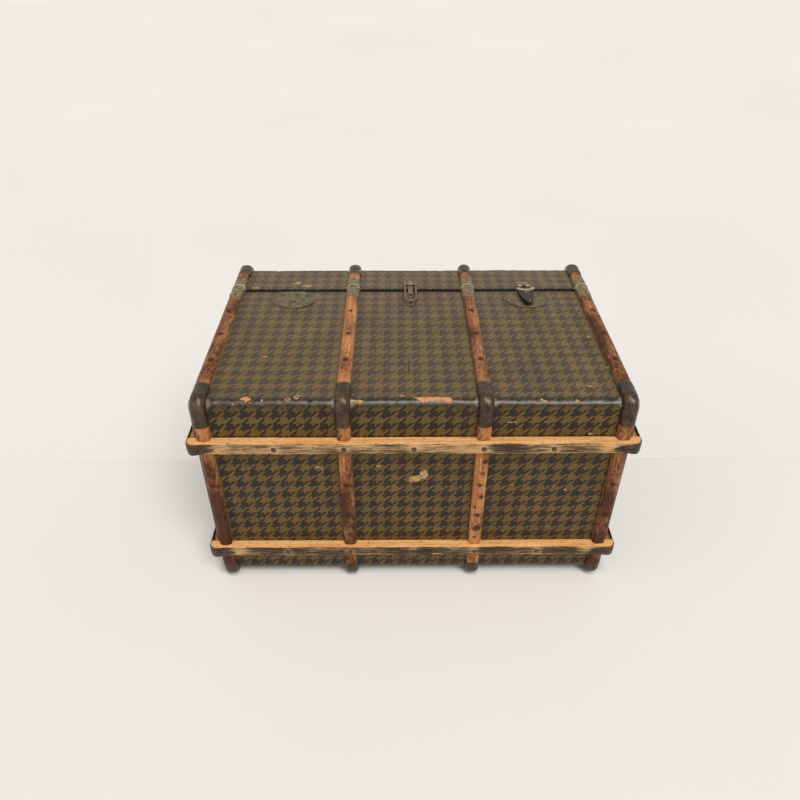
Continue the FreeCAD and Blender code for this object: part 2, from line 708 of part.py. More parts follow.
def strap_shape():
    """The right handle's strap: two flat feet and a bow of four equal arcs, drawn across its width."""
    half, rise = value("strap_bow / 2"), value("strap_rise")
    foot, thick, width = value("strap_foot"), value("strap_thickness"), value("strap_width")
    radius = (half ** 2 + rise ** 2) / (4 * rise)
    turn = math.asin(half / 2 / radius)

    def edge(offset):
        """One face of the strap from foot to foot, as points on its arcs and lines (along, out)."""
        valley, crest = radius - offset, radius + offset
        low = [(-half + valley * math.sin(a), radius - valley * math.cos(a)) for a in (0, turn / 2, turn)]
        top = [(-crest * math.sin(a), rise - radius + crest * math.cos(a)) for a in (turn / 2, 0)]
        left = [(-half - foot, offset)] + low + top
        return left + [(-along, out) for along, out in reversed(left[:-1])]

    def curve(points):
        p = [FreeCAD.Vector(out, 0, along) for along, out in points]
        return [Part.LineSegment(p[0], p[1]).toShape(), Part.Arc(p[1], p[2], p[3]).toShape(),
                Part.Arc(p[3], p[5], p[7]).toShape(), Part.Arc(p[7], p[8], p[9]).toShape(),
                Part.LineSegment(p[9], p[10]).toShape()]

    inner, outer = curve(edge(0)), curve(edge(thick))
    ends = [Part.LineSegment(a.Vertexes[i].Point, b.Vertexes[i].Point).toShape()
            for a, b, i in ((inner[0], outer[0], 0), (inner[-1], outer[-1], 1))]
    wire = Part.Wire(Part.__sortEdges__(inner + outer + ends))
    return Part.Face(wire).extrude(FreeCAD.Vector(0, width, 0))


def make_handles():
    """A bowed leather strap on each end, its feet held down by metal keepers."""
    strap = doc.addObject("Part::Feature", "strap")
    strap.Shape = strap_shape()
    place(strap, "end_canvas", "handle_place - strap_width / 2", "handle_middle")
    node("right_handle", strap)
    node("left_handle", mirrored(strap))
    keepers = []
    half = "strap_width / 2"
    for side in ("-", "+"):
        middle = f"handle_middle {side} (strap_bow / 2 + strap_foot / 2)"
        z = (f"{middle} - keeper_length / 2", f"{middle} + keeper_length / 2")
        wide = f"({half} + keeper_thickness)"
        hoop = block(("end_canvas", "end_canvas + strap_thickness + keeper_thickness"),
                     (f"handle_place - {wide}", f"handle_place + {wide}"), z)
        sole = block(("end_canvas", "end_canvas + keeper_thickness"),
                     (f"handle_place - {wide} - keeper_flange", f"handle_place + {wide} + keeper_flange"), z)
        core = block(("end_canvas - overrun", "end_canvas + strap_thickness"),
                     (f"handle_place - {half}", f"handle_place + {half}"),
                     (f"{z[0]} - overrun", f"{z[1]} + overrun"))
        keepers.append(cut(fuse(hoop, sole), core))
    node("handle_keepers", both_ends(group(*keepers)))


def nails(turn, x, y, z, columns, column_pitch, rows, row_pitch):
    """A field of round-headed nails: one turned nail, repeated along its own X and Y."""
    body = doc.addObject("PartDesign::Body", "nails")
    body.AllowCompound = True
    corners = [("0", "-nail_shank_length", None), ("nail_shank_radius", "-nail_shank_length", None),
               ("nail_shank_radius", "0", None), ("nail_head_radius", "0", None),
               ("nail_head_radius", "nail_head_height", "nail_head_rounding"),
               ("0", "nail_head_height", None)]
    nail = body.newObject("PartDesign::Revolution", "nail")
    nail.Profile = outline(body, "XZ_Plane", corners)
    axes = {item.Role: item for item in body.Origin.OriginFeatures}
    nail.ReferenceAxis = (axes["Z_Axis"], [""])
    doc.recompute()
    field = body.newObject("PartDesign::LinearPattern", "field")
    field.Originals = [nail]
    field.Direction, field.Direction2 = (axes["X_Axis"], [""]), (axes["Y_Axis"], [""])
    field.Occurrences, field.Occurrences2 = columns, rows
    bind(field, "Length", f"{columns - 1} * {column_pitch}")
    if rows > 1:
        bind(field, "Length2", f"{rows - 1} * ({row_pitch})")
    body.Tip = field
    body.Placement = FreeCAD.Placement(FreeCAD.Vector(), turn)
    return place(body, x, y, z)


def make_nails():
    """Nails through the slats and runners, by the face that they are driven into."""
    upward, downward = FreeCAD.Rotation(), FreeCAD.Rotation(0, 0, 180)
    to_bottom, to_lid = FreeCAD.Rotation(0, 0, 90), FreeCAD.Rotation(0, 0, -90)
    to_end = FreeCAD.Rotation(FreeCAD.Vector(1, 1, 1), 120)
    first = f"{SLAT_SHARES[0]} * slat_spacing"
    hoops, pitch = len(SLAT_SHARES), "slat_spacing"
    half_pitch = "slat_spacing / 2"
    runner_rise = "front_runner - back_runner"
    node("body_nails", group(
        nails(upward, first, "first_nail", "front_slat", hoops, pitch, 3, "slat_nail_pitch"),
        nails(downward, first, "last_nail", "back_slat", hoops, pitch, 3, "slat_nail_pitch"),
        nails(to_bottom, first, "bottom_slat", "handle_middle - bottom_nail_pitch / 2", hoops, pitch, 2,
              "bottom_nail_pitch"),
        nails(to_bottom, "-slat_spacing", "bottom_runner", "back_runner", 5, half_pitch, 2, runner_rise),
        both_ends(nails(to_end, "end_slat", "first_nail", "back_runner", 3, "slat_nail_pitch", 2,
                        runner_rise))))
    node("lid_nails", group(
        nails(to_lid, first, "lid_slat", "handle_middle + lid_nail_pitch / 2", hoops, pitch, 2,
              "lid_nail_pitch"),
        nails(to_lid, "-slat_spacing", "lid_runner", "front_runner", 5, half_pitch, 2, runner_rise)))


def check_and_write():
    """Stop on any failed object or bad shape, then write one file for each sub-part."""
    doc.recompute()
    for item in doc.Objects:
        if "Invalid" in item.State or "Error" in item.State:
            raise RuntimeError(f"{item.Label} failed: {item.State}")
    for name, piece in nodes.items():
        if piece.Shape.isNull() or not piece.Shape.isValid() or not piece.Shape.Solids:
            raise RuntimeError(f"{name} has no valid solid")
    os.makedirs("parts", exist_ok=True)
    for name, piece in nodes.items():
        piece.Shape.exportStep(f"parts/{name}.step")
        print(name, len(piece.Shape.Solids), round(piece.Shape.Volume))
    print(len(nodes), "sub-parts")


fill_sheets()
slat_prism = prism("slat_envelope", "YZ_Plane",
                   frame_outline("bottom_slat", "lid_slat", "back_slat", "front_slat", "slat_radius"),
                   "2 * (end_slat + overrun)")
cap_prism = prism("cap_envelope", "YZ_Plane",
                  frame_outline("bottom_slat - cap_thickness", "lid_slat + cap_thickness", "0", "front_cap",
                                "cap_radius"), "2 * (end_slat + overrun)")
runner_prism = prism("runner_envelope", "XY_Plane",
                     frame_outline("-end_slat", "end_slat", "bottom_runner", "lid_runner", "runner_corner"),
                     "2 * (front_cap + overrun)")
runner_cap_prism = prism("runner_cap_envelope", "XY_Plane",
                         frame_outline("-end_slat - cap_thickness", "end_slat + cap_thickness",
                                       "-outer_reach", "outer_reach", "runner_cap_corner"),
                         "2 * (front_cap + overrun)")
body_outside = make_body_case()
lid_outside = make_lid_case()
bottom_slats, lid_top_slats = make_slats(slat_prism)
make_runners(bottom_slats, lid_top_slats, runner_prism)
make_bumpers(slat_prism, cap_prism, body_outside, lid_outside)
make_ferrules()
make_runner_caps(runner_prism, runner_cap_prism)
make_locks()
make_hinges()
make_hasp()
make_loop()
make_handles()
make_nails()
check_and_write()
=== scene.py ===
import json
import math

import bmesh
import bpy
import numpy as np
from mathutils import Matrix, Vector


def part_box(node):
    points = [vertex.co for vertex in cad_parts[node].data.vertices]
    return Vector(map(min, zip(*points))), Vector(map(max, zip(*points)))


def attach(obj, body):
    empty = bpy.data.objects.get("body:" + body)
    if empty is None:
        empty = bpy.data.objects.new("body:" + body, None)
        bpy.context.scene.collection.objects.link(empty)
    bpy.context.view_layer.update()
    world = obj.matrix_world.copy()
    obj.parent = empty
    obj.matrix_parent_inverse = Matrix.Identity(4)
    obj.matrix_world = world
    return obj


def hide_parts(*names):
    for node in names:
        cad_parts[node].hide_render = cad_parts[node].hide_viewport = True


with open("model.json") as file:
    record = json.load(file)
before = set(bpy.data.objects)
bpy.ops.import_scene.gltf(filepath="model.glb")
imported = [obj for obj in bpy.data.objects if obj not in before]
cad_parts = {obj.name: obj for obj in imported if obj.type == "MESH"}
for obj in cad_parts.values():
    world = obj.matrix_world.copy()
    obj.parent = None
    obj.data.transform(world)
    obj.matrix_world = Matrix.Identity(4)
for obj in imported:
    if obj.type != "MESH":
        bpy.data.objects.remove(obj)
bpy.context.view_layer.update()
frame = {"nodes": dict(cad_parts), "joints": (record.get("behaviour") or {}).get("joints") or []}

bl_info = {
    "name": "Travel Trunk Finish",
    "version": (1, 0, 0),
    "blender": (4, 5, 0),
    "location": "3D View > Sidebar > Trunk",
    "description": "Canvas, slats, iron, brass and leather of a travel trunk that lies on its back",
    "category": "Add Mesh",
}

MM = 0.001


def span(node, axis):
    """Lowest and highest place of a CAD node along one axis."""
    low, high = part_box(node)
    return low[axis], high[axis]


# Planes and sizes of the trunk, read from the frame: X along it, Y from its bottom to its lid, Z up
BOTTOM, BODY_RIM = span("body_canvas", 1)
LID_RIM, LID_TOP = span("lid_canvas", 1)
BACK, FRONT = span("body_canvas", 2)
END = span("body_canvas", 0)[1]
SLAT_PLACES = [sum(span(f"front_slat_{number}", 0)) / 2 for number in (1, 2, 3, 4)]
SLAT_WIDTH = span("front_slat_1", 0)[1] - span("front_slat_1", 0)[0]
SLAT_RISE = span("front_slat_1", 2)[1] - FRONT
BODY_SEAM = span("front_slat_1", 1)[1]
LID_SEAM = span("lid_front_slats", 1)[0]
# The wood of the slats ends this far back from the seam, inside the ferrules
SEAM_HIDE = 8 * MM
BODY_SLAT_END, LID_SLAT_END = BODY_SEAM - SEAM_HIDE, LID_SEAM + SEAM_HIDE
CAP_RISE = span("front_bumpers", 2)[1] - FRONT
CAP_SKIN = CAP_RISE - SLAT_RISE
RUNNER_HEIGHTS = [sum(span(name, 2)) / 2 for name in ("front_runner", "back_runner")]
RUNNER_WIDTH = span("front_runner", 2)[1] - span("front_runner", 2)[0]
RUNNER_RISE = BOTTOM - span("front_runner", 1)[0]
RUNNER_END = span("front_runner", 0)[1]
HINGES = {joint["name"]: np.array(joint["pos_m"]) for joint in frame["joints"]}
HASP_AXIS = HINGES["hasp_hinge"]
# The hasp's nib drops into its lock at this distance from the hinge
NIB_REACH = 66 * MM
NIB_PLACE = HASP_AXIS[:2] - (0, NIB_REACH)

# Directions
RIGHT, REAR, UP = np.eye(3)

# Points over the outer face of a rounded section, and the angle from which an edge stays sharp
ROUND_STEPS = 25
SHARP_ANGLE = math.radians(38)
# Points closer than this are one point
MERGE = 0.002 * MM
# Heads, studs and beads are set this far into what carries them
SUNK = 0.2 * MM


def linear(code):
    """Linear red, green and blue of an sRGB hex colour."""
    shares = [int(code[place:place + 2], 16) / 255 for place in (1, 3, 5)]
    return [share / 12.92 if share <= 0.04045 else ((share + 0.055) / 1.055) ** 2.4 for share in shares]


def swatch(name, description, code):
    """A colour that the user can change."""
    return bpy.props.FloatVectorProperty(name=name, description=description, subtype="COLOR", size=3,
                                         min=0, max=1, default=linear(code))


def length(name, description, millimetres):
    """A length that the user can change."""
    return bpy.props.FloatProperty(name=name, description=description, unit="LENGTH", subtype="DISTANCE",
                                   min=0, precision=4, default=millimetres * MM)


def squareness(name, description, power):
    """How square a rounded section is, which the user can change."""
    return bpy.props.FloatProperty(name=name, description=description, min=2, max=12, default=power)


class TrunkColours(bpy.types.PropertyGroup):
    """Colours of the trunk's materials."""
    yarn_dark: swatch("Dark Yarn", "Dark brown yarn of the canvas", "#1d1109")
    yarn_light: swatch("Light Yarn", "Olive tan yarn of the canvas", "#664d1e")
    grime: swatch("Grime", "Handling dirt on worn edges", "#16110d")
    dust: swatch("Dust", "Dust on surfaces that look up", "#96846c")
    slat_light: swatch("Slat Light", "Early wood of the stained slats", "#d0925e")
    slat_dark: swatch("Slat Dark", "Late wood of the stained slats", "#a86231")
    slat_aged: swatch("Slat Aged", "Old stain and dirt in the slats", "#421b05")
    runner_light: swatch("Runner Light", "Early wood of the bare runners", "#f2bb7c")
    runner_dark: swatch("Runner Dark", "Late wood of the bare runners", "#d4924f")
    weathered: swatch("Weathered Wood", "Grey wood of the runners' outer faces", "#b19268")
    trodden: swatch("Trodden Dirt", "Dirt trodden into the wood", "#2c2016")
    iron: swatch("Iron", "Lacquered iron of the bumpers and caps", "#221910")
    brass: swatch("Brass", "Clean brass of the locks and ferrules", "#85775a")
    verdigris: swatch("Tarnish", "Tarnish on the brass", "#4e4b38")
    wire: swatch("Wire", "Coppery wire of the loop hasp", "#a87f66")
    leather: swatch("Leather", "Saddle leather of the handles", "#5a2f18")
    lining: swatch("Lining", "Linen of the inside", "#b7a283")


class TrunkSizes(bpy.types.PropertyGroup):
    """Sizes of the trunk's finish."""
    edge_radius: length("Edge Radius", "Rounding of the long edges of the case", 15)
    end_radius: length("End Radius", "Rounding of the case towards its ends", 5)
    end_lap: length("End Lap", "Width of the canvas that is turned over on the ends", 8)
    yarn_pitch: length("Yarn Pitch", "Width of one yarn of the houndstooth", 3.5)
    thread_pitch: length("Thread Pitch", "Spacing of the threads, drawn coarser than the real 0.5 mm", 1.3)
    runner_easing: length("Runner Easing", "Rounding of the runners' outer edges", 3)
    slat_fullness: squareness("Slat Fullness", "Section of the slats: 2 is half round, more is squarer", 3.4)
    cap_fullness: squareness("Cap Fullness", "Section of the caps: 2 is half round, more is squarer", 2.5)
    stitch_pitch: length("Stitch Pitch", "Spacing of the handle's stitches", 6)


# Points, runs and profiles

def run(start, end, step):
    """Evenly spaced points of a straight run, both ends included, about a step apart."""
    start, end = np.asarray(start, float), np.asarray(end, float)
    count = max(math.ceil(np.linalg.norm(end - start) / step), 1) + 1
    return np.linspace(start, end, count)


def arc(centre, radius, first, last, count):
    """Points of an arc: centre + radius * (cosine, sine) of an angle from first to last, in degrees."""
    turn = np.radians(np.linspace(first, last, count))
    return np.array(centre) + radius * np.stack((np.cos(turn), np.sin(turn)), axis=-1)


def distance(points):
    """Distance run along a row of points, from the first."""
    return np.append(0, np.cumsum(np.linalg.norm(np.diff(points, axis=0), axis=1)))


def waves(u, v, length_u, length_v, seed):
    """Smooth unevenness, mostly within 1 of zero: the sum of nine sine waves of drawn length, direction and
    phase."""
    draw = np.random.default_rng(seed)
    total = np.zeros(np.broadcast(u, v).shape)
    for _ in range(9):
        turn, phase, pace = draw.uniform(0, 2 * np.pi), draw.uniform(0, 2 * np.pi), draw.uniform(0.6, 1.9)
        place = u / length_u * np.cos(turn) + v / length_v * np.sin(turn)
        total += np.sin(2 * np.pi * pace * place + phase)
    return total * 0.3


def ramp(values, low, high):
    """Smooth step from 0 at low to 1 at high: 3 t squared less 2 t cubed."""
    share = np.clip((values - low) / (high - low), 0, 1)
    return share * share * (3 - 2 * share)


def bell(offset, reach):
    """Bell curve, 1 in the middle: e to the power of minus the square of offset over reach."""
    return np.exp(-(offset / reach) ** 2)


def bar_profile(width, rise, easing, crown):
    """Closed section of a bar: flat underneath, rounded outer corners, the outer face a flat parabola."""
    half, shoulder = width / 2, rise - crown
    left = arc((easing - half, shoulder - easing), easing, 180, 90, 6)
    across = np.linspace(easing - half, half - easing, 9)[1:-1]
    top = np.stack((across, rise - crown * (across / (half - easing)) ** 2), axis=-1)
    right = arc((half - easing, shoulder - easing), easing, 90, 0, 6)
    sides = run((-half, 0), left[0], rise / 3), run(right[-1], (half, 0), rise / 3)
    foot = run((half, 0), (-half, 0), width / 4)
    return np.concatenate((sides[0][:-1], left, top, right, sides[1][1:-1], foot))


def round_profile(width, rise, fullness):
    """Closed section of a rounded bar: the upper half of a superellipse, half width times cosine and rise
    times sine, each to the power of 2 over the fullness, and flat underneath."""
    turn = np.linspace(np.pi, 0, ROUND_STEPS)
    across, height = np.cos(turn), np.sin(turn)
    across = np.sign(across) * np.abs(across) ** (2 / fullness) * width / 2
    height = np.maximum(height, 0) ** (2 / fullness) * rise
    foot = run((width / 2, 0), (-width / 2, 0), width / 4)[1:]
    return np.concatenate((np.stack((across, height), axis=-1), foot))


def hollowed(profile, hollows):
    """The profile at each step of a bar, pushed in along its own normals by a field of depths, which fades
    out towards the underside."""
    tangent = np.gradient(profile, axis=0)
    inward = np.stack((tangent[:, 1], -tangent[:, 0]), axis=-1)
    inward /= np.maximum(np.linalg.norm(inward, axis=1, keepdims=True), 1e-9)
    lifted = np.clip(profile[:, 1] / profile[:, 1].max() * 4 - 0.6, 0, 1)
    return profile + inward * (hollows * lifted)[..., None]


def sweep(path, up, profile, marks=None):
    """A closed profile carried along a path: path + side * across + up * height, where side is square to the
    path and to up. A row drawn together in the middle closes each end."""
    path = np.asarray(path, float)
    up = np.broadcast_to(up, path.shape)
    ahead = np.gradient(path, axis=0)
    ahead = ahead / np.linalg.norm(ahead, axis=1, keepdims=True)
    side = np.cross(ahead, up)
    profile = np.broadcast_to(profile, (len(path), *profile.shape[-2:]))
    points = path[:, None] + side[:, None] * profile[..., :1] + up[:, None] * profile[..., 1:]
    first, last = (np.broadcast_to(row.mean(axis=0), (1, *row.shape)) for row in (points[0], points[-1]))
    points = np.concatenate((first, points, last))
    along = np.pad(distance(path), 1, mode="edge")
    along[-1] += MM
    around = distance(profile[len(profile) // 2])
    uv = np.stack(np.meshgrid(along, around, indexing="ij"), axis=-1)
    marks = {name: np.pad(np.broadcast_to(mark, profile.shape[:2]), ((1, 1), (0, 0)), mode="edge")
             for name, mark in (marks or {}).items()}
    return {"points": points, "uv": uv, "marks": marks}


def domes(centres, outward, radius, rise, sides=10):
    """Low round heads: rings of a circle whose radius falls as a cosine while the height grows as a sine, on
    a foot that goes below the face."""
    turn, lift = np.meshgrid(np.linspace(0, 2 * np.pi, sides + 1), np.radians([0, 0, 35, 65, 90]))
    height = rise * np.sin(lift)
    height[0] = -0.3 * rise
    outward = np.asarray(outward, float)
    side = REAR if abs(outward[0]) > 0.5 else RIGHT
    other = np.cross(outward, side)
    rounds = side * np.cos(turn)[..., None] + other * np.sin(turn)[..., None]
    head = rounds * (radius * np.cos(lift))[..., None] + outward * height[..., None]
    uv = np.stack((turn, lift), axis=-1) * radius
    return [{"points": head + np.asarray(centre), "uv": uv, "marks": {}} for centre in centres]


# Pieces

def surface(name, sheets, material, body, stands_for=(), thickness=0.0):
    """One piece from grids of points, each a grid of four-sided faces: seams and poles are merged, a closed
    piece has its faces turned outwards, and a sheet, which has a thickness, gets it on its inner side."""
    points, faces, uvs, marks, start = [], [], [], {}, 0
    for sheet in sheets:
        rows, columns = sheet["points"].shape[:2]
        index = start + np.arange(rows * columns).reshape(rows, columns)
        quads = np.stack((index[:-1, :-1], index[1:, :-1], index[1:, 1:], index[:-1, 1:]), axis=-1)
        points.append(sheet["points"].reshape(-1, 3))
        faces.append(quads.reshape(-1, 4))
        uvs.append(sheet["uv"].reshape(-1, 2))
        for key, mark in sheet["marks"].items():
            marks.setdefault(key, []).append(np.broadcast_to(mark, (rows, columns)).ravel())
        start += rows * columns
    faces = np.concatenate(faces)
    mesh = bpy.data.meshes.new(name)
    mesh.from_pydata(np.concatenate(points).tolist(), [], faces.tolist())
    layer = mesh.uv_layers.new(name="surface")
    layer.uv.foreach_set("vector", np.concatenate(uvs)[faces.ravel()].astype(np.float32).ravel())
    for key, parts in marks.items():
        mark = mesh.attributes.new(key, "FLOAT", "POINT")
        mark.data.foreach_set("value", np.concatenate(parts).astype(np.float32))
    shell = bmesh.new()
    shell.from_mesh(mesh)
    bmesh.ops.remove_doubles(shell, verts=shell.verts, dist=MERGE)
    bmesh.ops.dissolve_degenerate(shell, edges=shell.edges, dist=MERGE)
    if not thickness:
        bmesh.ops.recalc_face_normals(shell, faces=shell.faces)
    shell.to_mesh(mesh)
    shell.free()
    mesh.shade_smooth()
    mesh.set_sharp_from_angle(angle=SHARP_ANGLE)
    mesh.materials.append(material)
    piece = bpy.data.objects.new(name, mesh)
    bpy.context.scene.collection.objects.link(piece)
    if thickness:
        wall = piece.modifiers.new("thickness", "SOLIDIFY")
        wall.thickness, wall.offset = thickness, -1
    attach(piece, body)
    if stands_for:
        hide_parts(*stands_for)


def coat(material, *names):
    """Give CAD nodes whose shape is right a finished material."""
    for name in names:
        for slot in frame["nodes"][name].material_slots:
            slot.material = material


# Materials

def connect(tree, node, links):
    """Give a node's inputs, by name or place, a value, another node's first output or a given output."""
    for key, source in links.items():
        if isinstance(source, bpy.types.Node):
            source = source.outputs[0]
        if isinstance(source, bpy.types.NodeSocket):
            tree.links.new(source, node.inputs[key])
        else:
            node.inputs[key].default_value = source


def add(tree, kind, links=None, **settings):
    """Add one shader node: settings are its own properties, links fill its inputs."""
    made = tree.nodes.new("ShaderNode" + kind)
    for key, setting in settings.items():
        setattr(made, key, setting)
    connect(tree, made, links or {})
    return made


def blank(name, **constants):
    """A material with one shader, whose constant values sit on its own sockets."""
    material = bpy.data.materials.new(name)
    material.use_nodes = True
    tree = material.node_tree
    tree.nodes.clear()
    sockets = {key.replace("_", " "): constant for key, constant in constants.items()}
    shader = add(tree, "BsdfPrincipled", sockets)
    add(tree, "OutputMaterial", {"Surface": shader})
    return material, tree, shader


def rgba(colour):
    """A colour with full cover."""
    return (*colour, 1.0)


def lay_over(tree, below, colour, pattern, low, high, most=1.0):
    """Lay a colour over another where a pattern passes from low to high, up to the most that it covers."""
    amount = add(tree, "MapRange", {0: pattern, 1: low, 2: high, 3: 0.0, 4: most})
    return add(tree, "Mix", {0: amount, 6: below, 7: rgba(colour)}, data_type="RGBA").outputs[2]


def coated_canvas(name):
    """Linen woven in two yarns and sealed with oil varnish: a broken houndstooth with a soft sheen, dark and
    smooth where hands and floors rubbed it, grey where dust lies, with painted shade of the thread relief and
    a painted highlight along the crest of each long edge."""
    colours, sizes = bpy.context.scene.trunk_colours, bpy.context.scene.trunk_sizes
    material, tree, shader = blank(name, IOR=1.45, Specular_IOR_Level=0.38)
    place = add(tree, "UVMap")
    # Noise by its size in mm, detail and roughness
    noises = (2.5, 2, 0.5), (90, 5, 0.6), (2.4, 4, 0.75), (9, 5, 0.65), (60, 3, 0.5)
    ragged, fading, slubs, rub, patches = [
        add(tree, "TexNoise", {"Vector": place, "Scale": 1 / (size * MM), "Detail": detail,
                               "Roughness": roughness})
        for size, detail, roughness in noises]
    # Yarns wander a little from their straight course
    offset = add(tree, "VectorMath", {0: ragged.outputs["Color"], 1: (0.5, 0.5, 0.5)}, operation="SUBTRACT")
    shifted = add(tree, "VectorMath", {0: offset, 1: (0.8 * MM,) * 3, 2: place.outputs[0]},
                  operation="MULTIPLY_ADD")
    yarns = add(tree, "VectorMath", {0: shifted, "Scale": 1 / sizes.yarn_pitch}, operation="SCALE")
    count = add(tree, "SeparateXYZ", {0: yarns})
    # Houndstooth: four dark and four light yarns each way, crossing in a twill of two over two
    slant = add(tree, "Math", {0: count.outputs[0], 1: count.outputs[1]})
    bands = []
    for source, period in ((count.outputs[0], 8), (count.outputs[1], 8), (slant, 4)):
        rest = add(tree, "Math", {0: source, 1: period}, operation="FLOORED_MODULO")
        bands.append(add(tree, "Math", {0: rest, 1: period / 2}, operation="LESS_THAN"))
    warp, weft, over = bands
    tooth = add(tree, "Mix", {0: over, 2: weft, 3: warp})
    light, dark = rgba(colours.yarn_light), rgba(colours.yarn_dark)
    check = add(tree, "Mix", {0: tooth, 6: light, 7: dark}, data_type="RGBA")
    # Threads: the product of two sine waves, one along each yarn direction, also used below as painted shade
    # of the thread relief
    turns = 2 * math.pi / sizes.thread_pitch
    threads = add(tree, "VectorMath", {0: place, "Scale": turns}, operation="SCALE")
    crossing = add(tree, "SeparateXYZ", {0: add(tree, "VectorMath", {0: threads}, operation="SINE")})
    weave = add(tree, "Math", {0: crossing.outputs[0], 1: crossing.outputs[1]}, operation="MULTIPLY")
    # Fading in large clouds and slubs in the yarn, both as brightness
    tint = add(tree, "MapRange", {0: fading, 1: 0.3, 2: 0.7, 3: 0.72, 4: 1.18})
    uneven = add(tree, "MapRange", {0: slubs, 1: 0.34, 2: 0.68, 3: 0.66, 4: 1.28})
    mottled = add(tree, "Math", {0: tint, 1: uneven}, operation="MULTIPLY")
    # Painted shade of the thread relief: the threads lighten and darken the colour by about a tenth, on top
    # of the fading and slubs
    lit = add(tree, "Math", {0: weave, 1: 0.1, 2: mottled}, operation="MULTIPLY_ADD")
    faded_and_thread_shaded = add(tree, "VectorMath", {0: check.outputs[2], "Scale": lit}, operation="SCALE")
    # Grime in the wear mark, broken up by fine noise
    wear = add(tree, "Attribute", attribute_name="wear").outputs["Fac"]
    worn = add(tree, "Math", {0: rub, 1: 1.3, 2: wear}, operation="MULTIPLY_ADD")
    colour = lay_over(tree, faded_and_thread_shaded.outputs[0], colours.grime, worn, 0.85, 1.5, 0.92)
    # Painted highlight: the crest of each edge is lightened to a pale grey that stands in for the gloss on
    # the rounded edge, and partly reads as coating rubbed through to the grey filler
    crest_highlight = add(tree, "Math", {0: rub, 1: 0.5, 2: wear}, operation="MULTIPLY_ADD")
    colour = lay_over(tree, colour, linear("#8f7f6b"), crest_highlight, 0.96, 1.14, 0.6)
    # Small chips in the coating show the pale cloth
    flecks = add(tree, "TexVoronoi", {"Vector": place, "Scale": 1 / (26 * MM), "Randomness": 1.0})
    knocked = add(tree, "Math", {0: wear, 1: 0.12, 2: patches}, operation="MULTIPLY_ADD")
    fleck_size = add(tree, "MapRange", {0: knocked, 1: 0.5, 2: 0.75, 3: 0.0, 4: 0.1})
    chip = add(tree, "Math", {0: flecks.outputs["Distance"], 1: fleck_size}, operation="LESS_THAN")
    chipped = add(tree, "Mix", {0: chip, 6: colour, 7: rgba(linear("#9c866c"))}, data_type="RGBA")
    # Short scrapes, dragged one way, leave the coating pale
    dragged = add(tree, "Mapping", {"Vector": place, "Rotation": (0, 0, math.radians(33)),
                                    "Scale": (1 / (13 * MM), 1 / (1.5 * MM), 1)})
    strokes = add(tree, "TexNoise", {"Vector": dragged, "Scale": 1.0, "Detail": 2.0})
    colour = lay_over(tree, chipped.outputs[2], linear("#a08c66"), strokes, 0.67, 0.75, 0.5)
    # Dust lies in the same clouds as the fading
    dust = add(tree, "Attribute", attribute_name="dust").outputs["Fac"]
    settled = add(tree, "Math", {0: dust, 1: tint}, operation="MULTIPLY")
    dusty = add(tree, "Mix", {0: settled, 6: colour, 7: rgba(colours.dust)}, data_type="RGBA")
    # Rubbed coating is smooth, and the weave is flattened there
    gloss = add(tree, "MapRange", {0: rub, 1: 0.3, 2: 0.75, 3: 0.38, 4: 0.56})
    polish = add(tree, "MapRange", {0: wear, 1: 0.2, 2: 0.65})
    smooth = add(tree, "Mix", {0: polish, 2: gloss, 3: 0.25})
    firm = add(tree, "MapRange", {0: polish, 3: 0.7, 4: 0.12})
    relief = add(tree, "Math", {0: rub, 1: 0.9, 2: weave}, operation="MULTIPLY_ADD")
    sunk = add(tree, "Math", {0: chip, 1: -3.0, 2: relief}, operation="MULTIPLY_ADD")
    bump = add(tree, "Bump", {"Height": sunk, "Distance": 0.12 * MM, "Strength": firm})
    connect(tree, shader, {"Base Color": dusty.outputs[2], "Roughness": smooth, "Normal": bump})
    return material


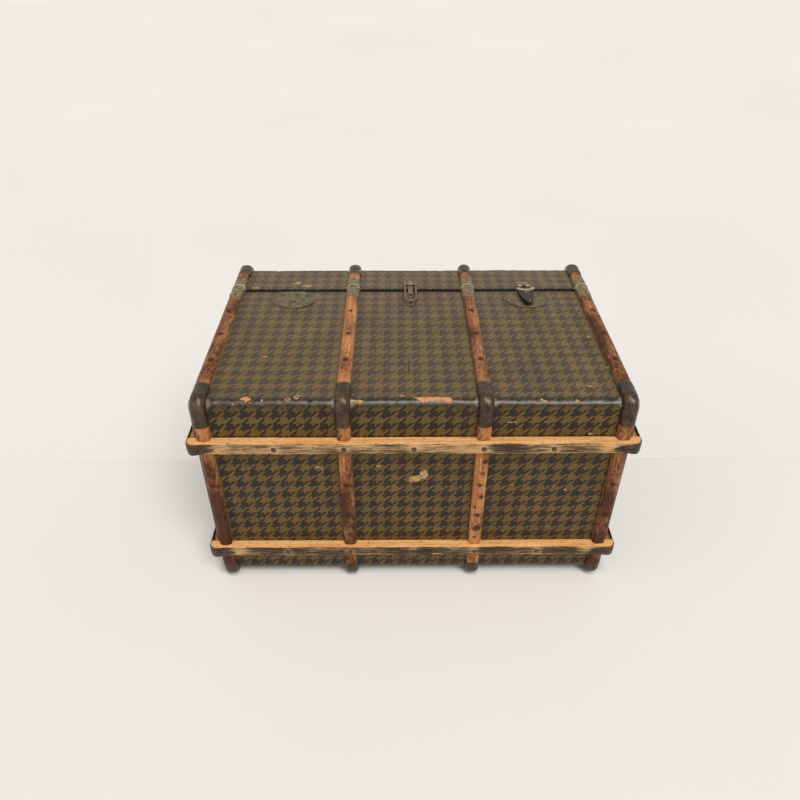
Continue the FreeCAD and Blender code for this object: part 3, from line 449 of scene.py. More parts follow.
def planed_wood(name, light, dark, aged, weathered, grime, least_rough):
    """Planed wood: fine pores and slow bands along the grain, blotches and specks of old stain, greyed and
    dirty where the dirt mark is high, which is trodden dirt on the runners and, at the foot of the slats'
    sides, dirt with painted shade. It is pale where an edge is rubbed bare, dull when bare and has a low
    sheen when stained."""
    material, tree, shader = blank(name, IOR=1.5, Specular_IOR_Level=0.25)
    place = add(tree, "UVMap")

    def streaks(size_along, size_across, detail, roughness, distortion=0.0):
        """Noise drawn out along the grain."""
        stretched = add(tree, "Mapping", {"Vector": place, "Scale": (1 / size_along, 1 / size_across, 1)})
        return add(tree, "TexNoise", {"Vector": stretched, "Scale": 1.0, "Detail": detail,
                                      "Roughness": roughness, "Distortion": distortion})

    def layer(below, colour, pattern, low, high, most, mark=None, share=1.0):
        """Lay a colour over another where a pattern, raised by a share of a mark, passes from low to high."""
        if mark:
            level = add(tree, "Attribute", attribute_name=mark).outputs["Fac"]
            pattern = add(tree, "Math", {0: level, 1: share, 2: pattern}, operation="MULTIPLY_ADD")
        return lay_over(tree, below, colour, pattern, low, high, most)

    # Late wood, pores, old stain, weathered faces, rubbed edges, specks of stain, then dirt in three sizes
    pores = streaks(14 * MM, 0.9 * MM, 3.0, 0.6)
    scuff = streaks(17 * MM, 2.8 * MM, 6.0, 0.74)
    colour = layer(rgba(light), dark, streaks(160 * MM, 5 * MM, 5.0, 0.5, 0.7), 0.36, 0.66, 1.0)
    colour = layer(colour, aged, pores, 0.5, 0.72, 0.5)
    colour = layer(colour, aged, streaks(15 * MM, 9 * MM, 5.0, 0.7), 0.6, 1.1, 0.95, "age", 0.4)
    colour = layer(colour, weathered, streaks(60 * MM, 8 * MM, 4.0, 0.6), 0.7, 1.1, 0.85, "dirt", 0.75)
    colour = layer(colour, light, streaks(9 * MM, 4 * MM, 4.0, 0.7), 1.0, 1.12, 0.8, "rub", 0.55)
    specks = [channel * 0.5 for channel in aged]
    colour = layer(colour, specks, streaks(9 * MM, 5 * MM, 5.0, 0.7), 0.57, 0.66, 0.85, "age", 0.035)
    colour = layer(colour, grime, streaks(5 * MM, 2.2 * MM, 4.0, 0.75), 0.74, 0.9, 0.7, "dirt", 0.25)
    colour = layer(colour, grime, streaks(50 * MM, 3.4 * MM, 5.0, 0.7), 0.69, 0.82, 0.84, "dirt", 0.26)
    colour = layer(colour, grime, streaks(38 * MM, 1.7 * MM, 5.0, 0.75), 0.78, 0.86, 0.8, "dirt", 0.26)
    rough = add(tree, "MapRange", {0: scuff, 1: 0.3, 2: 0.7, 3: least_rough, 4: least_rough + 0.22})
    relief = add(tree, "Math", {0: pores, 1: scuff})
    bump = add(tree, "Bump", {"Height": relief, "Distance": 0.35 * MM, "Strength": 0.6})
    connect(tree, shader, {"Base Color": colour, "Roughness": rough, "Normal": bump})
    return material


def worn_metal(name, clean, tarnish, metallic, rough, patch, fleck):
    """Pressed sheet or drawn wire that has aged: clean patches, patches of tarnish or lacquer, fine pits."""
    material, tree, shader = blank(name, Metallic=metallic)
    place = add(tree, "TexCoord").outputs["Object"]
    cloud = add(tree, "TexNoise", {"Vector": place, "Scale": 1 / patch, "Detail": 6.0, "Roughness": 0.66})
    pits = add(tree, "TexNoise", {"Vector": place, "Scale": 1 / fleck, "Detail": 4.0, "Roughness": 0.7})
    both = add(tree, "Math", {0: pits, 1: 0.6, 2: cloud}, operation="MULTIPLY_ADD")
    colour = lay_over(tree, rgba(clean), tarnish, both, 0.62, 1.0)
    dull = add(tree, "MapRange", {0: both, 1: 0.6, 2: 1.05, 3: rough, 4: rough + 0.28})
    bump = add(tree, "Bump", {"Height": both, "Distance": 0.2 * MM, "Strength": 0.5})
    connect(tree, shader, {"Base Color": colour, "Roughness": dull, "Normal": bump})
    return material


def saddle_leather(name, clean):
    """Vegetable-tanned leather: small creased pebbles under wax, darkened in clouds by hands."""
    material, tree, shader = blank(name, IOR=1.5)
    place = add(tree, "TexCoord").outputs["Object"]
    pebble = add(tree, "TexVoronoi", {"Vector": place, "Scale": 1 / (1.8 * MM)}, feature="DISTANCE_TO_EDGE")
    cloud = add(tree, "TexNoise", {"Vector": place, "Scale": 1 / (25 * MM), "Detail": 6.0, "Roughness": 0.65})
    colour = lay_over(tree, rgba(clean), [channel * 0.3 for channel in clean], cloud, 0.35, 0.68)
    rough = add(tree, "MapRange", {0: cloud, 1: 0.3, 2: 0.7, 3: 0.36, 4: 0.6})
    relief = add(tree, "MapRange", {0: pebble.outputs["Distance"], 1: 0.0, 2: 0.25})
    bump = add(tree, "Bump", {"Height": relief, "Distance": 0.15 * MM, "Strength": 0.5})
    connect(tree, shader, {"Base Color": colour, "Roughness": rough, "Normal": bump})
    return material


def plain_cloth(name, clean, stain, thread, on_sheet=False):
    """Plain-woven cloth or twisted thread: yarns that cross as summed sine waves, brown foxing, no sheen."""
    material, tree, shader = blank(name, Roughness=0.9, IOR=1.46)
    place = add(tree, "UVMap").outputs[0] if on_sheet else add(tree, "TexCoord").outputs["Object"]
    threads = add(tree, "VectorMath", {0: place, "Scale": 2 * math.pi / thread}, operation="SCALE")
    crossing = add(tree, "SeparateXYZ", {0: add(tree, "VectorMath", {0: threads}, operation="SINE")})
    half = add(tree, "Math", {0: crossing.outputs[0], 1: crossing.outputs[1]})
    weave = add(tree, "Math", {0: half, 1: crossing.outputs[2]})
    cloud = add(tree, "TexNoise", {"Vector": place, "Scale": 1 / (70 * MM), "Detail": 7.0, "Roughness": 0.68})
    foxed = lay_over(tree, rgba(clean), stain, cloud, 0.42, 0.75, 0.75)
    lit = add(tree, "Math", {0: weave, 1: 0.09, 2: 1.0}, operation="MULTIPLY_ADD")
    shaded = add(tree, "VectorMath", {0: foxed, "Scale": lit}, operation="SCALE")
    bump = add(tree, "Bump", {"Height": weave, "Distance": 0.12 * MM, "Strength": 0.6})
    connect(tree, shader, {"Base Color": shaded, "Normal": bump})
    return material


def torn_fibre(name, light, dark):
    """Torn wood or cloth fibres: pale ragged streaks, quite matt."""
    material, tree, shader = blank(name, Roughness=0.85, IOR=1.46)
    place = add(tree, "TexCoord").outputs["Object"]
    drawn = add(tree, "Mapping", {"Vector": place, "Scale": (1 / (6 * MM), 1 / (1.8 * MM), 1 / (3 * MM))})
    fibre = add(tree, "TexNoise", {"Vector": drawn, "Scale": 1.0, "Detail": 5.0, "Roughness": 0.7})
    colour = lay_over(tree, rgba(light), dark, fibre, 0.4, 0.62)
    bump = add(tree, "Bump", {"Height": fibre, "Distance": 0.6 * MM, "Strength": 0.8})
    connect(tree, shader, {"Base Color": colour, "Normal": bump})
    return material


# Each finish: what makes it, the material's name, its colours, by property or code, and its measures.
# Wood ends with its least roughness, metal with its metallic share, least roughness, size of patches and size
# of pits, and cloth with the spacing of its threads, drawn coarser than the real 0.5 mm
RECIPES = {
    "canvas": (coated_canvas, "coated_linen_canvas"),
    "slat": (planed_wood, "stained_beech_slats", "slat_light", "slat_dark", "slat_aged", "weathered",
             "trodden", 0.42),
    "runner": (planed_wood, "bare_beech_runners", "runner_light", "runner_dark", "slat_aged", "weathered",
               "trodden", 0.55),
    "board": (planed_wood, "poplar_boards", "#c9a878", "#a9855a", "#6b4a2c", "weathered", "grime", 0.6),
    "iron": (worn_metal, "lacquered_pressed_iron", "iron", "#5b462f", 0.45, 0.2, 16 * MM, 2.2 * MM),
    "nail": (worn_metal, "rusted_iron_nails", "#4a3526", "#1d1511", 0.55, 0.42, 4 * MM, 0.8 * MM),
    "rubbed_nail": (worn_metal, "rubbed_iron_nails", "#8d8069", "#4c3d2d", 0.6, 0.35, 4 * MM, 0.8 * MM),
    "brass": (worn_metal, "tarnished_brass", "brass", "verdigris", 0.75, 0.36, 12 * MM, 1.6 * MM),
    "ferrule": (worn_metal, "rubbed_brass_caps", "#9e8a6b", "#5f5441", 0.75, 0.34, 9 * MM, 1.6 * MM),
    "bright_brass": (worn_metal, "rubbed_brass", "#9c8650", "brass", 0.85, 0.3, 14 * MM, 1.6 * MM),
    # Near black japanned iron for the hasp, darkened partly as painted shade of its face
    "black_hasp": (worn_metal, "japanned_hasp_and_shade", "#130d08", "#2f2217", 0.1, 0.45, 10 * MM, 1.5 * MM),
    "bead": (worn_metal, "polished_brass_bead", "#d6c6a2", "#9c8b68", 0.6, 0.3, 8 * MM, 1.5 * MM),
    "wire": (worn_metal, "coppery_wire", "wire", "#6d4534", 0.8, 0.34, 8 * MM, 1.5 * MM),
    # A pale coppery lip across the hasp's head, partly a painted highlight where it catches the light
    "lip": (worn_metal, "coppery_lip_and_highlight", "#b9a496", "#84706a", 0.6, 0.34, 8 * MM, 1.5 * MM),
    "leather": (saddle_leather, "saddle_leather", "leather"),
    "thread": (plain_cloth, "waxed_linen_thread", "#b99a64", "#7a5c36", 0.9 * MM),
    "lining": (plain_cloth, "pasted_linen_lining", "lining", "#8a6e4a", 1.6 * MM, True),
    # Dark brown tape: its tone is partly the tape's own and partly painted shade for the gap at the mouth
    "tape": (plain_cloth, "dark_tape_and_gap_shade", "#2c221a", "#17110d", 1.6 * MM),
    "bare_wood": (torn_fibre, "splintered_poplar", "#e2a06a", "#a8612f"),
    "torn_cloth": (torn_fibre, "torn_linen_backing", "#cda874", "#6f5030"),
    # Dark torn canvas edges, also used as painted shade in holes, splits and round the runners' nails
    "dark_edge_and_hole_shade": (torn_fibre, "curled_edge_and_hole_shade", "#5c4a31", "#2c2118"),
}
FINISHES = {}


def tone(value):
    """A recipe's value: a code or a property's name gives its colour, a number stays."""
    if not isinstance(value, str):
        return value
    return linear(value) if value.startswith("#") else getattr(bpy.context.scene.trunk_colours, value)


def finish(name):
    """The named material of this trunk, made from its recipe when it is first asked for."""
    if name not in FINISHES:
        maker, title, *values = RECIPES[name]
        FINISHES[name] = maker(title, *[tone(value) for value in values])
    return FINISHES[name]


# Canvas, tape and lining

def girth(rim, closed, front, back, radius, step, roll=0.0):
    """Outline of a case across its length, from the rim's front over the closed side to the rim's back:
    straight runs joined by two arcs, with a small quarter arc over each rim where there is a roll. Gives
    points (y, z), outward normals and the distance run."""
    way = 1 if rim > closed else -1
    inner = closed + way * radius
    side = 90 + way * 90
    points = np.concatenate((
        run((rim, front), (inner, front), step)[:-1],
        arc((inner, front - radius), radius, 90, side, 8),
        run((closed, front - radius), (closed, back + radius), step)[1:-1],
        arc((inner, back + radius), radius, side, side + way * 90, 8),
        run((inner, back), (rim, back), step)[1:]))
    if roll:
        lead = arc((rim, front - roll), roll, 90 - way * 85, 90, 5)[:-1]
        trail = arc((rim, back + roll), roll, 270, 270 + way * 85, 5)[1:]
        points = np.concatenate((lead, points, trail))
    ahead = np.gradient(points, axis=0)
    ahead /= np.linalg.norm(ahead, axis=1, keepdims=True)
    normals = way * np.stack((ahead[:, 1], -ahead[:, 0]), axis=-1)
    return points, normals, distance(points)


def carried(x, across, along, grid, marks):
    """A sheet: a grid of places (y, z), a column for each x, mapped by the distances across and along it."""
    points = np.concatenate((np.broadcast_to(x[None, :, None], (*grid.shape[:2], 1)), grid), axis=-1)
    uv = np.stack(np.broadcast_arrays(across[None], along[:, None]), axis=-1)
    return {"points": points, "uv": uv, "marks": marks}


def canvas_wrap(rim, closed, seed):
    """Canvas round a case: its outline carried along the length; at each end the row bends over an arc and
    lies on the end, moved in along the outline's normals. Boards swell a little, edges are knocked, and under
    the lock plate a hollow makes room for the hasp's nib."""
    sizes = bpy.context.scene.trunk_sizes
    step, setback, roll = 6 * MM, 0.4 * MM, 1.3 * MM
    rim = rim - setback * np.sign(rim - closed)
    points, normals, along = girth(rim, closed, FRONT, BACK, sizes.edge_radius, step, roll)
    corner = END - sizes.end_radius
    over = np.radians(np.linspace(0, 90, 5)[1:])
    lap = np.linspace(0, sizes.end_lap, 4)[1:]
    edge_x = np.append(corner + sizes.end_radius * np.sin(over), 0 * lap + END)
    edge_in = np.append(sizes.end_radius * (1 - np.cos(over)), sizes.end_radius + lap)
    flat = run([-corner], [corner], step)[:, 0]
    x = np.concatenate((-edge_x[::-1], flat, edge_x))
    inset = np.concatenate((edge_in[::-1], 0 * flat, edge_in))
    across = distance(np.stack((x, inset), axis=-1))
    across -= across[-1] / 2
    arc_places = [along[np.argmin(np.hypot(*(points - (closed, level)).T))] for level in (FRONT, BACK)]
    away = np.min([np.abs(along - level) for level in arc_places], axis=0)[:, None]
    # Boards swell in long waves, and short knocks flatten the long edges
    board_wave, board_swell, knock, knock_reach = 260 * MM, 0.35 * MM, 0.7 * MM, 14 * MM
    swell = waves(across[None], along[:, None], board_wave, board_wave, seed) * board_swell
    knocks = np.clip(waves(across[None], along[:, None], 34 * MM, 40 * MM, seed + 1), 0, 2)
    swell = swell - knocks * knock * bell(away, knock_reach)
    nib_depth, nib_room = 5 * MM, 14 * MM
    from_nib = np.hypot(x[None] - NIB_PLACE[0], points[:, :1] - NIB_PLACE[1])
    let_in = nib_depth * np.exp(-(from_nib / nib_room) ** 6) * (normals[:, 1:] > 0.9)
    depth = inset[None] - swell * (inset < sizes.end_radius) + let_in
    grid = points[:, None] - normals[:, None] * depth[..., None]
    # Hands and floors wear the long edges and the ends, and a narrow band beside the slats is darker and
    # smoother
    beside = np.min([np.abs(np.abs(x - slat_place) - SLAT_WIDTH / 2) for slat_place in SLAT_PLACES], axis=0)
    edge = bell(away, reach=13 * MM)
    wear = 0.6 * edge + 0.2 * bell(away, reach=45 * MM)
    wear = wear + 0.4 * bell(END - np.abs(x), reach=9 * MM) + 0.35 * bell(beside, reach=6 * MM)
    # Dust lies on what looks up, more towards the lid, and is wiped off the edges and the ends
    facing = np.clip(normals[:, 1:], 0, 1) ** 2
    towards_lid = ramp(grid[..., 0], low=-20 * MM, high=220 * MM)
    dust = (0.02 + facing * (0.13 + 0.05 * towards_lid)) * (1 - 0.85 * edge)
    dust = dust * (1 - 0.9 * ramp(inset, 0, sizes.end_radius))
    sheet = carried(x, across, along, grid, {"wear": wear, "dust": dust})
    return sheet if rim > closed else turned(sheet)


def turned(sheet):
    """The same sheet with its faces looking the other way."""
    return {"points": sheet["points"][:, ::-1], "uv": sheet["uv"][:, ::-1],
            "marks": {key: np.broadcast_to(mark, sheet["points"].shape[:2])[:, ::-1]
                      for key, mark in sheet["marks"].items()}}


def end_panel(way, y, z, x, seed):
    """A flat panel across an end, slightly uneven: x plus low waves over y and z."""
    step, board_wave, swell = 8 * MM, 200 * MM, 0.1 * MM
    along, up = np.meshgrid(*[run([low], [high], step)[:, 0] for low, high in (y, z)], indexing="ij")
    out = x + waves(along, up, board_wave, board_wave, seed) * swell
    border = np.min([along - y[0], y[1] - along, up - z[0], z[1] - up], axis=0)
    sheet = {"points": np.stack((way * out, along, up), axis=-1), "uv": np.stack((along, up), axis=-1),
             "marks": {"wear": 0.55 * bell(border, reach=20 * MM), "dust": 0.04}}
    return sheet if way > 0 else turned(sheet)


def rim_tape(rim, way):
    """Tape on a rim: loops of a rounded rectangle, which go from under the canvas over the boards' edge to
    the inside."""
    end_radius, least_radius, fold = bpy.context.scene.trunk_sizes.end_radius, 0.4 * MM, 3 * MM
    # Inset of each loop from the outside of the case, and its height over the rim (mm)
    steps = ((1.3, -4), (1.2, 0.2), (1.7, 0.55), (9.6, 0.55), (10.1, 0), (10.1, -3), (5, -3))
    loops = []
    for inset, out in np.multiply(steps, MM):
        radius = max(end_radius - inset, least_radius)
        half, low, high = END - inset, BACK + inset, FRONT - inset
        corners = [arc((way_x * (half - radius), z), radius, first, first + 90, 6) for way_x, z, first in (
            (1, high - radius, 0), (-1, high - radius, 90), (-1, low + radius, 180), (1, low + radius, 270))]
        loop = np.concatenate((*corners, corners[0][:1]))
        loops.append(np.insert(loop, 1, rim + way * out, axis=1))
    points = np.stack(loops + loops[:1])
    around = distance(points[0])
    uv = np.stack(np.meshgrid(np.arange(len(points)) * fold, around, indexing="ij"), axis=-1)
    return {"points": points, "uv": uv, "marks": {}}


def lining_sheets(node, closed_is_low, seed):
    """Pasted cloth inside a case: the inner outline carried along the length, and a panel on each end."""
    low, high = (np.array(corner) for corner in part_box(node))
    skin, radius, step, paste = 0.6 * MM, 4 * MM, 9 * MM, 0.18 * MM
    rim, closed = (high[1], low[1] + skin) if closed_is_low else (low[1], high[1] - skin)
    points, _, along = girth(rim, closed, high[2] - skin, low[2] + skin, radius, step)
    x = run([low[0] + skin], [high[0] - skin], step)[:, 0]
    rise = waves(x[None], along[:, None], 120 * MM, 150 * MM, seed) * paste
    grid = np.broadcast_to(points[:, None], (len(points), len(x), 2)) + rise[..., None]
    sheet = carried(x, x, along, grid, {})
    y = sorted((rim, closed))
    ends = [end_panel(way, y, (low[2] + skin, high[2] - skin), high[0] - skin, seed) for way in (1, -1)]
    # The lining shows no wear or dust
    for end in ends:
        end["marks"] = {}
    return [turned(sheet) if closed_is_low else sheet] + [turned(end) for end in ends]


# Wood

def slat(start, end, outward, width, rise, ages, seed, nails=(), spots=()):
    """A slat: a rounded bar along a straight run, its outer edges dented. Its age changes as the cube of the
    distance; it is darker round its nails and at spots of dirt, and greyed and darkened at the foot of its
    sides, which is partly dirt and partly painted shade."""
    step, dent, stain_reach, edge_reach = 4 * MM, 1.1 * MM, 6.5 * MM, 4 * MM
    path = run(start, end, step)
    profile = round_profile(width, rise, bpy.context.scene.trunk_sizes.slat_fullness)
    across, height = profile.T
    along, around = distance(path)[:, None], distance(profile)[None]
    edge = bell(np.abs(across) - width / 2, edge_reach) * (height > rise / 2)
    dents = np.clip(waves(along, around, 40 * MM, 18 * MM, seed) - 0.25, 0, 2) * (0.25 + edge) * dent
    stain = sum(bell(np.hypot(along - place, across), stain_reach) for place in nails)
    dirt = sum(bell(np.hypot(along - place, across - aside), reach) for place, aside, reach in spots)
    patchy = waves(along, around, 130 * MM, 60 * MM, seed + 5) * 0.4
    age = ages[0] + (ages[1] - ages[0]) * (along / along[-1]) ** 3
    bared = np.clip(waves(along, around, 70 * MM, 40 * MM, seed), 0, 1)
    # The dirt mark greys and darkens the foot of the sides: dirt against the canvas, and painted shade where
    # the slat meets it
    marks = {"age": age + patchy + 0.7 * stain + 2 * dirt, "rub": edge * bared,
             "dirt": 0.9 * np.clip(1 - 1.5 * height / rise, 0, 1)}
    return sweep(path, outward, hollowed(profile, dents), marks)


def runner(way, base, height, seed, nails, trodden=0.9):
    """A runner: a bar along the length whose outer face falls away round its ends, gouged along the grain,
    with dirt trodden into the outer face and cleaner wood round the nails and before the straps."""
    round_end, gouge, chip, crown = 12 * MM, 1.0 * MM, 4.2 * MM, 0.8 * MM
    step, edge_reach = 3.5 * MM, 3.5 * MM
    nail_reach, strap_reach, strap_place = 11 * MM, 14 * MM, RUNNER_END - 58 * MM
    turn = RUNNER_END - round_end
    tip = turn + round_end * np.sin(np.radians(np.linspace(0, 84, 9)[1:]))
    x = np.concatenate((-tip[::-1], run([-turn], [turn], step)[:, 0], tip))
    fall = round_end - np.sqrt(np.maximum(round_end ** 2 - np.maximum(np.abs(x) - turn, 0) ** 2, 0))
    path = np.stack((x, 0 * x + base, 0 * x + height), axis=-1)
    profile = bar_profile(RUNNER_WIDTH, RUNNER_RISE, bpy.context.scene.trunk_sizes.runner_easing, crown)
    across, around, along = profile[:, 0], distance(profile)[None], x[:, None]
    outer = ramp(profile[:, 1], low=RUNNER_RISE - 4.5 * MM, high=RUNNER_RISE - 1.2 * MM)
    edge = bell(np.abs(across) - RUNNER_WIDTH / 2, edge_reach) * outer
    gouges = np.clip(waves(along, around, 60 * MM, 9 * MM, seed) - 0.1, 0, 2) * outer * gouge
    chips = np.clip(waves(along, around, 45 * MM, 70 * MM, seed + 1) - 0.1, 0, 2) * edge * chip
    halo = sum(bell(np.hypot(along - place, across), nail_reach) for place in nails)
    whole = np.clip(1.6 * halo, 0, 1)
    halo = halo + bell(np.abs(along) - strap_place, strap_reach)
    worn = hollowed(profile, (gouges + chips) * (1 - whole))
    worn = worn * np.stack((1 + 0 * fall, 1 - fall / RUNNER_RISE), axis=-1)[:, None]
    smear = waves(along, around, 150 * MM, 40 * MM, seed + 2) * 0.25
    marks = {"age": -0.3 + 0.1 * outer + smear * outer, "rub": edge * np.clip(0.6 + 2 * smear, 0, 1),
             "dirt": outer * (trodden + 0.8 * smear) - 0.4 * halo}
    return sweep(path, way * REAR, worn, marks)


# Pressed metal

def cap_profile(width):
    """Section of a cap over a slat."""
    return round_profile(width, CAP_RISE, bpy.context.scene.trunk_sizes.cap_fullness)


def dented(path, up, profile, depth, seed):
    """A pressed cap: the profile carried along a path, with shallow dents and rounded lips at its ends."""
    dent_size, lip, lip_share = 26 * MM, 2 * MM, 0.09
    along, around = distance(path)[:, None], distance(profile)[None]
    dents = np.clip(waves(along, around, dent_size, dent_size, seed), -0.3, 2) * depth
    near = np.minimum(along, along[-1] - along)
    drawn_in = lip_share * np.clip(1 - near / lip, 0, 1) ** 2
    return sweep(path, up, hollowed(profile, dents) * (1 - drawn_in)[..., None])


def corner_path(place, corner_y, corner_z, end_y, end_z):
    """Path round a long edge of the case at one slat, with its outward normals: a straight leg, a quarter arc
    and a straight leg, with short steps at both ends for the cap's lips."""
    radius, step = bpy.context.scene.trunk_sizes.edge_radius, 5 * MM
    lips = np.multiply((0, -0.5, -1.2), MM)
    way_y, way_z = np.sign(end_y - corner_y), np.sign(end_z - corner_z)
    centre = np.array((corner_y + way_y * radius, corner_z + way_z * radius))
    bend = np.radians(np.linspace(0, 90, 13))
    out = np.stack((-way_y * np.cos(bend), -way_z * np.sin(bend)), axis=-1)
    turn = centre + out * radius
    ends = end_z + way_z * lips
    leg = run((corner_y, ends[-1]), turn[0], step)[1:-1]
    first = np.concatenate(([(corner_y, level) for level in ends], leg))
    ends = end_y + way_y * lips[::-1]
    leg = run(turn[-1], (ends[0], corner_z), step)[1:-1]
    last = np.concatenate((leg, [(level, corner_z) for level in ends]))
    points = np.concatenate((first, turn, last))
    up = np.concatenate((0 * first + out[0], out, 0 * last + out[-1]))
    return np.insert(points, 0, place, axis=1), np.insert(up, 0, 0, axis=1)


def ferrule(start, end, outward, width, bulge, seed):
    """A cap on a slat's end at the mouth: a straight bar whose seam end bows out, or in, as a parabola over
    its width."""
    start, end = np.asarray(start, float), np.asarray(end, float)
    ahead = (end - start) / np.linalg.norm(end - start)
    before_lip, step, dent = 3 * MM, 4 * MM, 0.35 * MM
    lip = [end - ahead * inset * MM for inset in (1.9, 1.2, 0.5, 0)]
    path = np.concatenate((run(start, end - ahead * before_lip, step), lip))
    profile = cap_profile(width)
    sheet = dented(path, outward, profile, dent, seed)
    bow_out = bulge * (1 - (2 * profile[:, 0] / width) ** 2) * (profile[:, 1] > CAP_RISE / 2)
    share = ramp(np.linspace(0, 1, len(sheet["points"])), low=0.55, high=1.0)[:, None]
    sheet["points"] = sheet["points"] + ahead * (share * bow_out)[..., None]
    return sheet


def rolled_bead(cap, ahead):
    """A rolled bead across a ferrule: a circle carried over the outer face, on the row before the lip."""
    row, radius = -6, 1.4 * MM
    return sweep(cap["points"][row, :ROUND_STEPS], ahead, arc((0, 0), radius, 0, 360, 9))


def runner_strap(way_x, way_y, height, seed):
    """A strap round a runner's end: from a leaf-shaped tongue, whose width grows as a power of the distance,
    over the runner's outer corner to a square end on the end slat."""
    reach, taper, corner, easing = 50 * MM, 44 * MM, 12 * MM, 0.9 * MM
    dent_size, dent, tip_gap, blunt = 24 * MM, 0.3 * MM, 0.3 * MM, 0.2 * MM
    tip_step, tail_step = 2.5 * MM, 5 * MM
    outer = abs(BOTTOM) + RUNNER_RISE
    back_to = abs(span("runner_caps", 1)[1] if way_y < 0 else span("lid_runner_caps", 1)[0])
    tip = run((RUNNER_END - reach + tip_gap, outer), (RUNNER_END - corner, outer), tip_step)
    turn = arc((RUNNER_END - corner, outer - corner), corner, 90, 0, 9)
    tail = run((RUNNER_END, outer - corner), (RUNNER_END, back_to), tail_step)
    flat = np.concatenate((tip[:-1], turn, tail[1:]))
    ahead = np.gradient(flat, axis=0)
    ahead /= np.linalg.norm(ahead, axis=1, keepdims=True)
    path = np.stack((way_x * flat[:, 0], way_y * flat[:, 1], 0 * flat[:, 0] + height), axis=-1)
    up = np.stack((-way_x * ahead[:, 1], way_y * ahead[:, 0], 0 * ahead[:, 0]), axis=-1)
    along = distance(path)
    left = np.clip(1 - (along + blunt) / taper, 0, 1)
    half = RUNNER_WIDTH / 2 * (0.9 * (1 - left ** 1.7) ** 0.85 + 0.1 * np.clip(along / reach, 0, 1) ** 2)
    profile = bar_profile(RUNNER_WIDTH, CAP_SKIN + easing, easing, crown=0.7 * MM)
    uneven = waves(along[:, None], distance(profile)[None], dent_size, dent_size, seed)
    rows = hollowed(profile, np.clip(uneven, -0.2, 2) * dent)
    return sweep(path, up, rows * np.stack((2 * half / RUNNER_WIDTH, 1 + 0 * half), axis=-1)[:, None])


# Locks and scars

def ring(centre, radius, tube):
    """A ring that lies flat: a small circle carried round a large one."""
    turn, roll = np.meshgrid(np.linspace(0, 2 * np.pi, 21), np.linspace(0, 2 * np.pi, 9), indexing="ij")
    reach = radius + tube * np.cos(roll)
    points = np.stack((reach * np.cos(turn), reach * np.sin(turn), tube * np.sin(roll)), axis=-1) + centre
    return {"points": points, "uv": np.stack((turn * radius, roll * tube), axis=-1), "marks": {}}


def plate_bead(middle, half_length, half_width, cut):
    """Raised edge of a lock plate: a low profile carried along the two arcs of a pointed oval, up to the
    rim's cut or to the room that the hasp needs."""
    inset, hasp_room = 3.2 * MM, 20 * MM
    full = (half_length ** 2 + half_width ** 2) / (2 * half_width)
    radius, shift = full - inset, full - half_width
    tip = math.sqrt(radius ** 2 - shift ** 2)
    top = max(math.sqrt(radius ** 2 - (shift + cut - inset / 2) ** 2), hasp_room)
    upper, lower = np.linspace(top, tip, 14), np.linspace(tip, -tip, 49)[1:-1]
    x = np.concatenate((upper, lower, -upper[::-1]))
    side = np.repeat((1, -1, 1), (len(upper), len(lower), len(upper)))
    y = side * (np.sqrt(radius ** 2 - x ** 2) - shift)
    path = middle + np.stack((x, y, 0 * x - SUNK), axis=-1)
    return sweep(path, UP, bar_profile(width=2.6 * MM, rise=1.2 * MM, easing=0.7 * MM, crown=0.2 * MM))


def hasp_dress():
    """Shield on the hasp, lifted with it: a crowned bar that narrows as a power of the distance; a lip across
    its head, bowed as a parabola; studs on top."""
    lift = math.radians(5)
    out, up = np.array((0, -math.cos(lift), math.sin(lift))), np.array((0, math.sin(lift), math.cos(lift)))
    # The shield's head and tip from the hinge, half its width, its depth in the hasp and its rise
    head, tip, half, sole, rise = 17 * MM, 93 * MM, 17 * MM, 1.4 * MM, 5 * MM
    even_end, tip_rows, step = 89 * MM, (91 * MM, 92.4 * MM), 3 * MM
    reach = np.append(run([head], [even_end], step)[:, 0], tip_rows)
    width = (1 - (reach / tip) ** 2.6) ** 0.8
    crown = 0.55 + 0.45 * np.sqrt(width)
    profile = bar_profile(2 * half, rise, easing=1.6 * MM, crown=2.4 * MM)
    share = np.stack((width + 0.03, crown), axis=-1)[:, None]
    shield = sweep(HASP_AXIS + reach[:, None] * out - sole * up, up, profile * share)
    # The lip is a little wider than the shield, nearest the hinge and highest at its ends
    lip_place, lip_bow, lip_low, lip_lift, lip_half = 20.5 * MM, 7 * MM, 1.1 * MM, 1.2 * MM, 1.05 * half
    across = np.linspace(-1, 1, 17)
    bow = lip_place + lip_bow * (1 - across ** 2)
    height = lip_low + lip_lift * across ** 2
    path = HASP_AXIS + np.outer(across * lip_half, RIGHT) + bow[:, None] * out + height[:, None] * up
    lip = sweep(path, up, bar_profile(width=9 * MM, rise=3.6 * MM, easing=1.5 * MM, crown=0.6 * MM))
    # Studs by their place across the hasp and from its hinge (mm)
    centres = []
    for x, place in np.multiply(((-1.5, 44), (4, 39), (0, 86.5)), MM):
        top = rise * np.interp(place, reach, crown) - sole - SUNK
        centres.append(HASP_AXIS + x * RIGHT + place * out + top * up)
    return shield, lip, domes(centres, UP, radius=2 * MM, rise=1.3 * MM)


def over_edge(level):
    """Points (y, z) and outward normals of the case's skin at a distance over its front edge: the front face,
    the arc of the edge, then the bottom."""
    radius = bpy.context.scene.trunk_sizes.edge_radius
    bend = np.clip(level / radius, 0, np.pi / 2)
    before, after = np.minimum(level, 0), np.maximum(level - radius * np.pi / 2, 0)
    y = BOTTOM + radius - before - radius * np.sin(bend)
    z = FRONT - radius - after + radius * np.cos(bend)
    return y, z, -np.sin(bend), np.cos(bend)


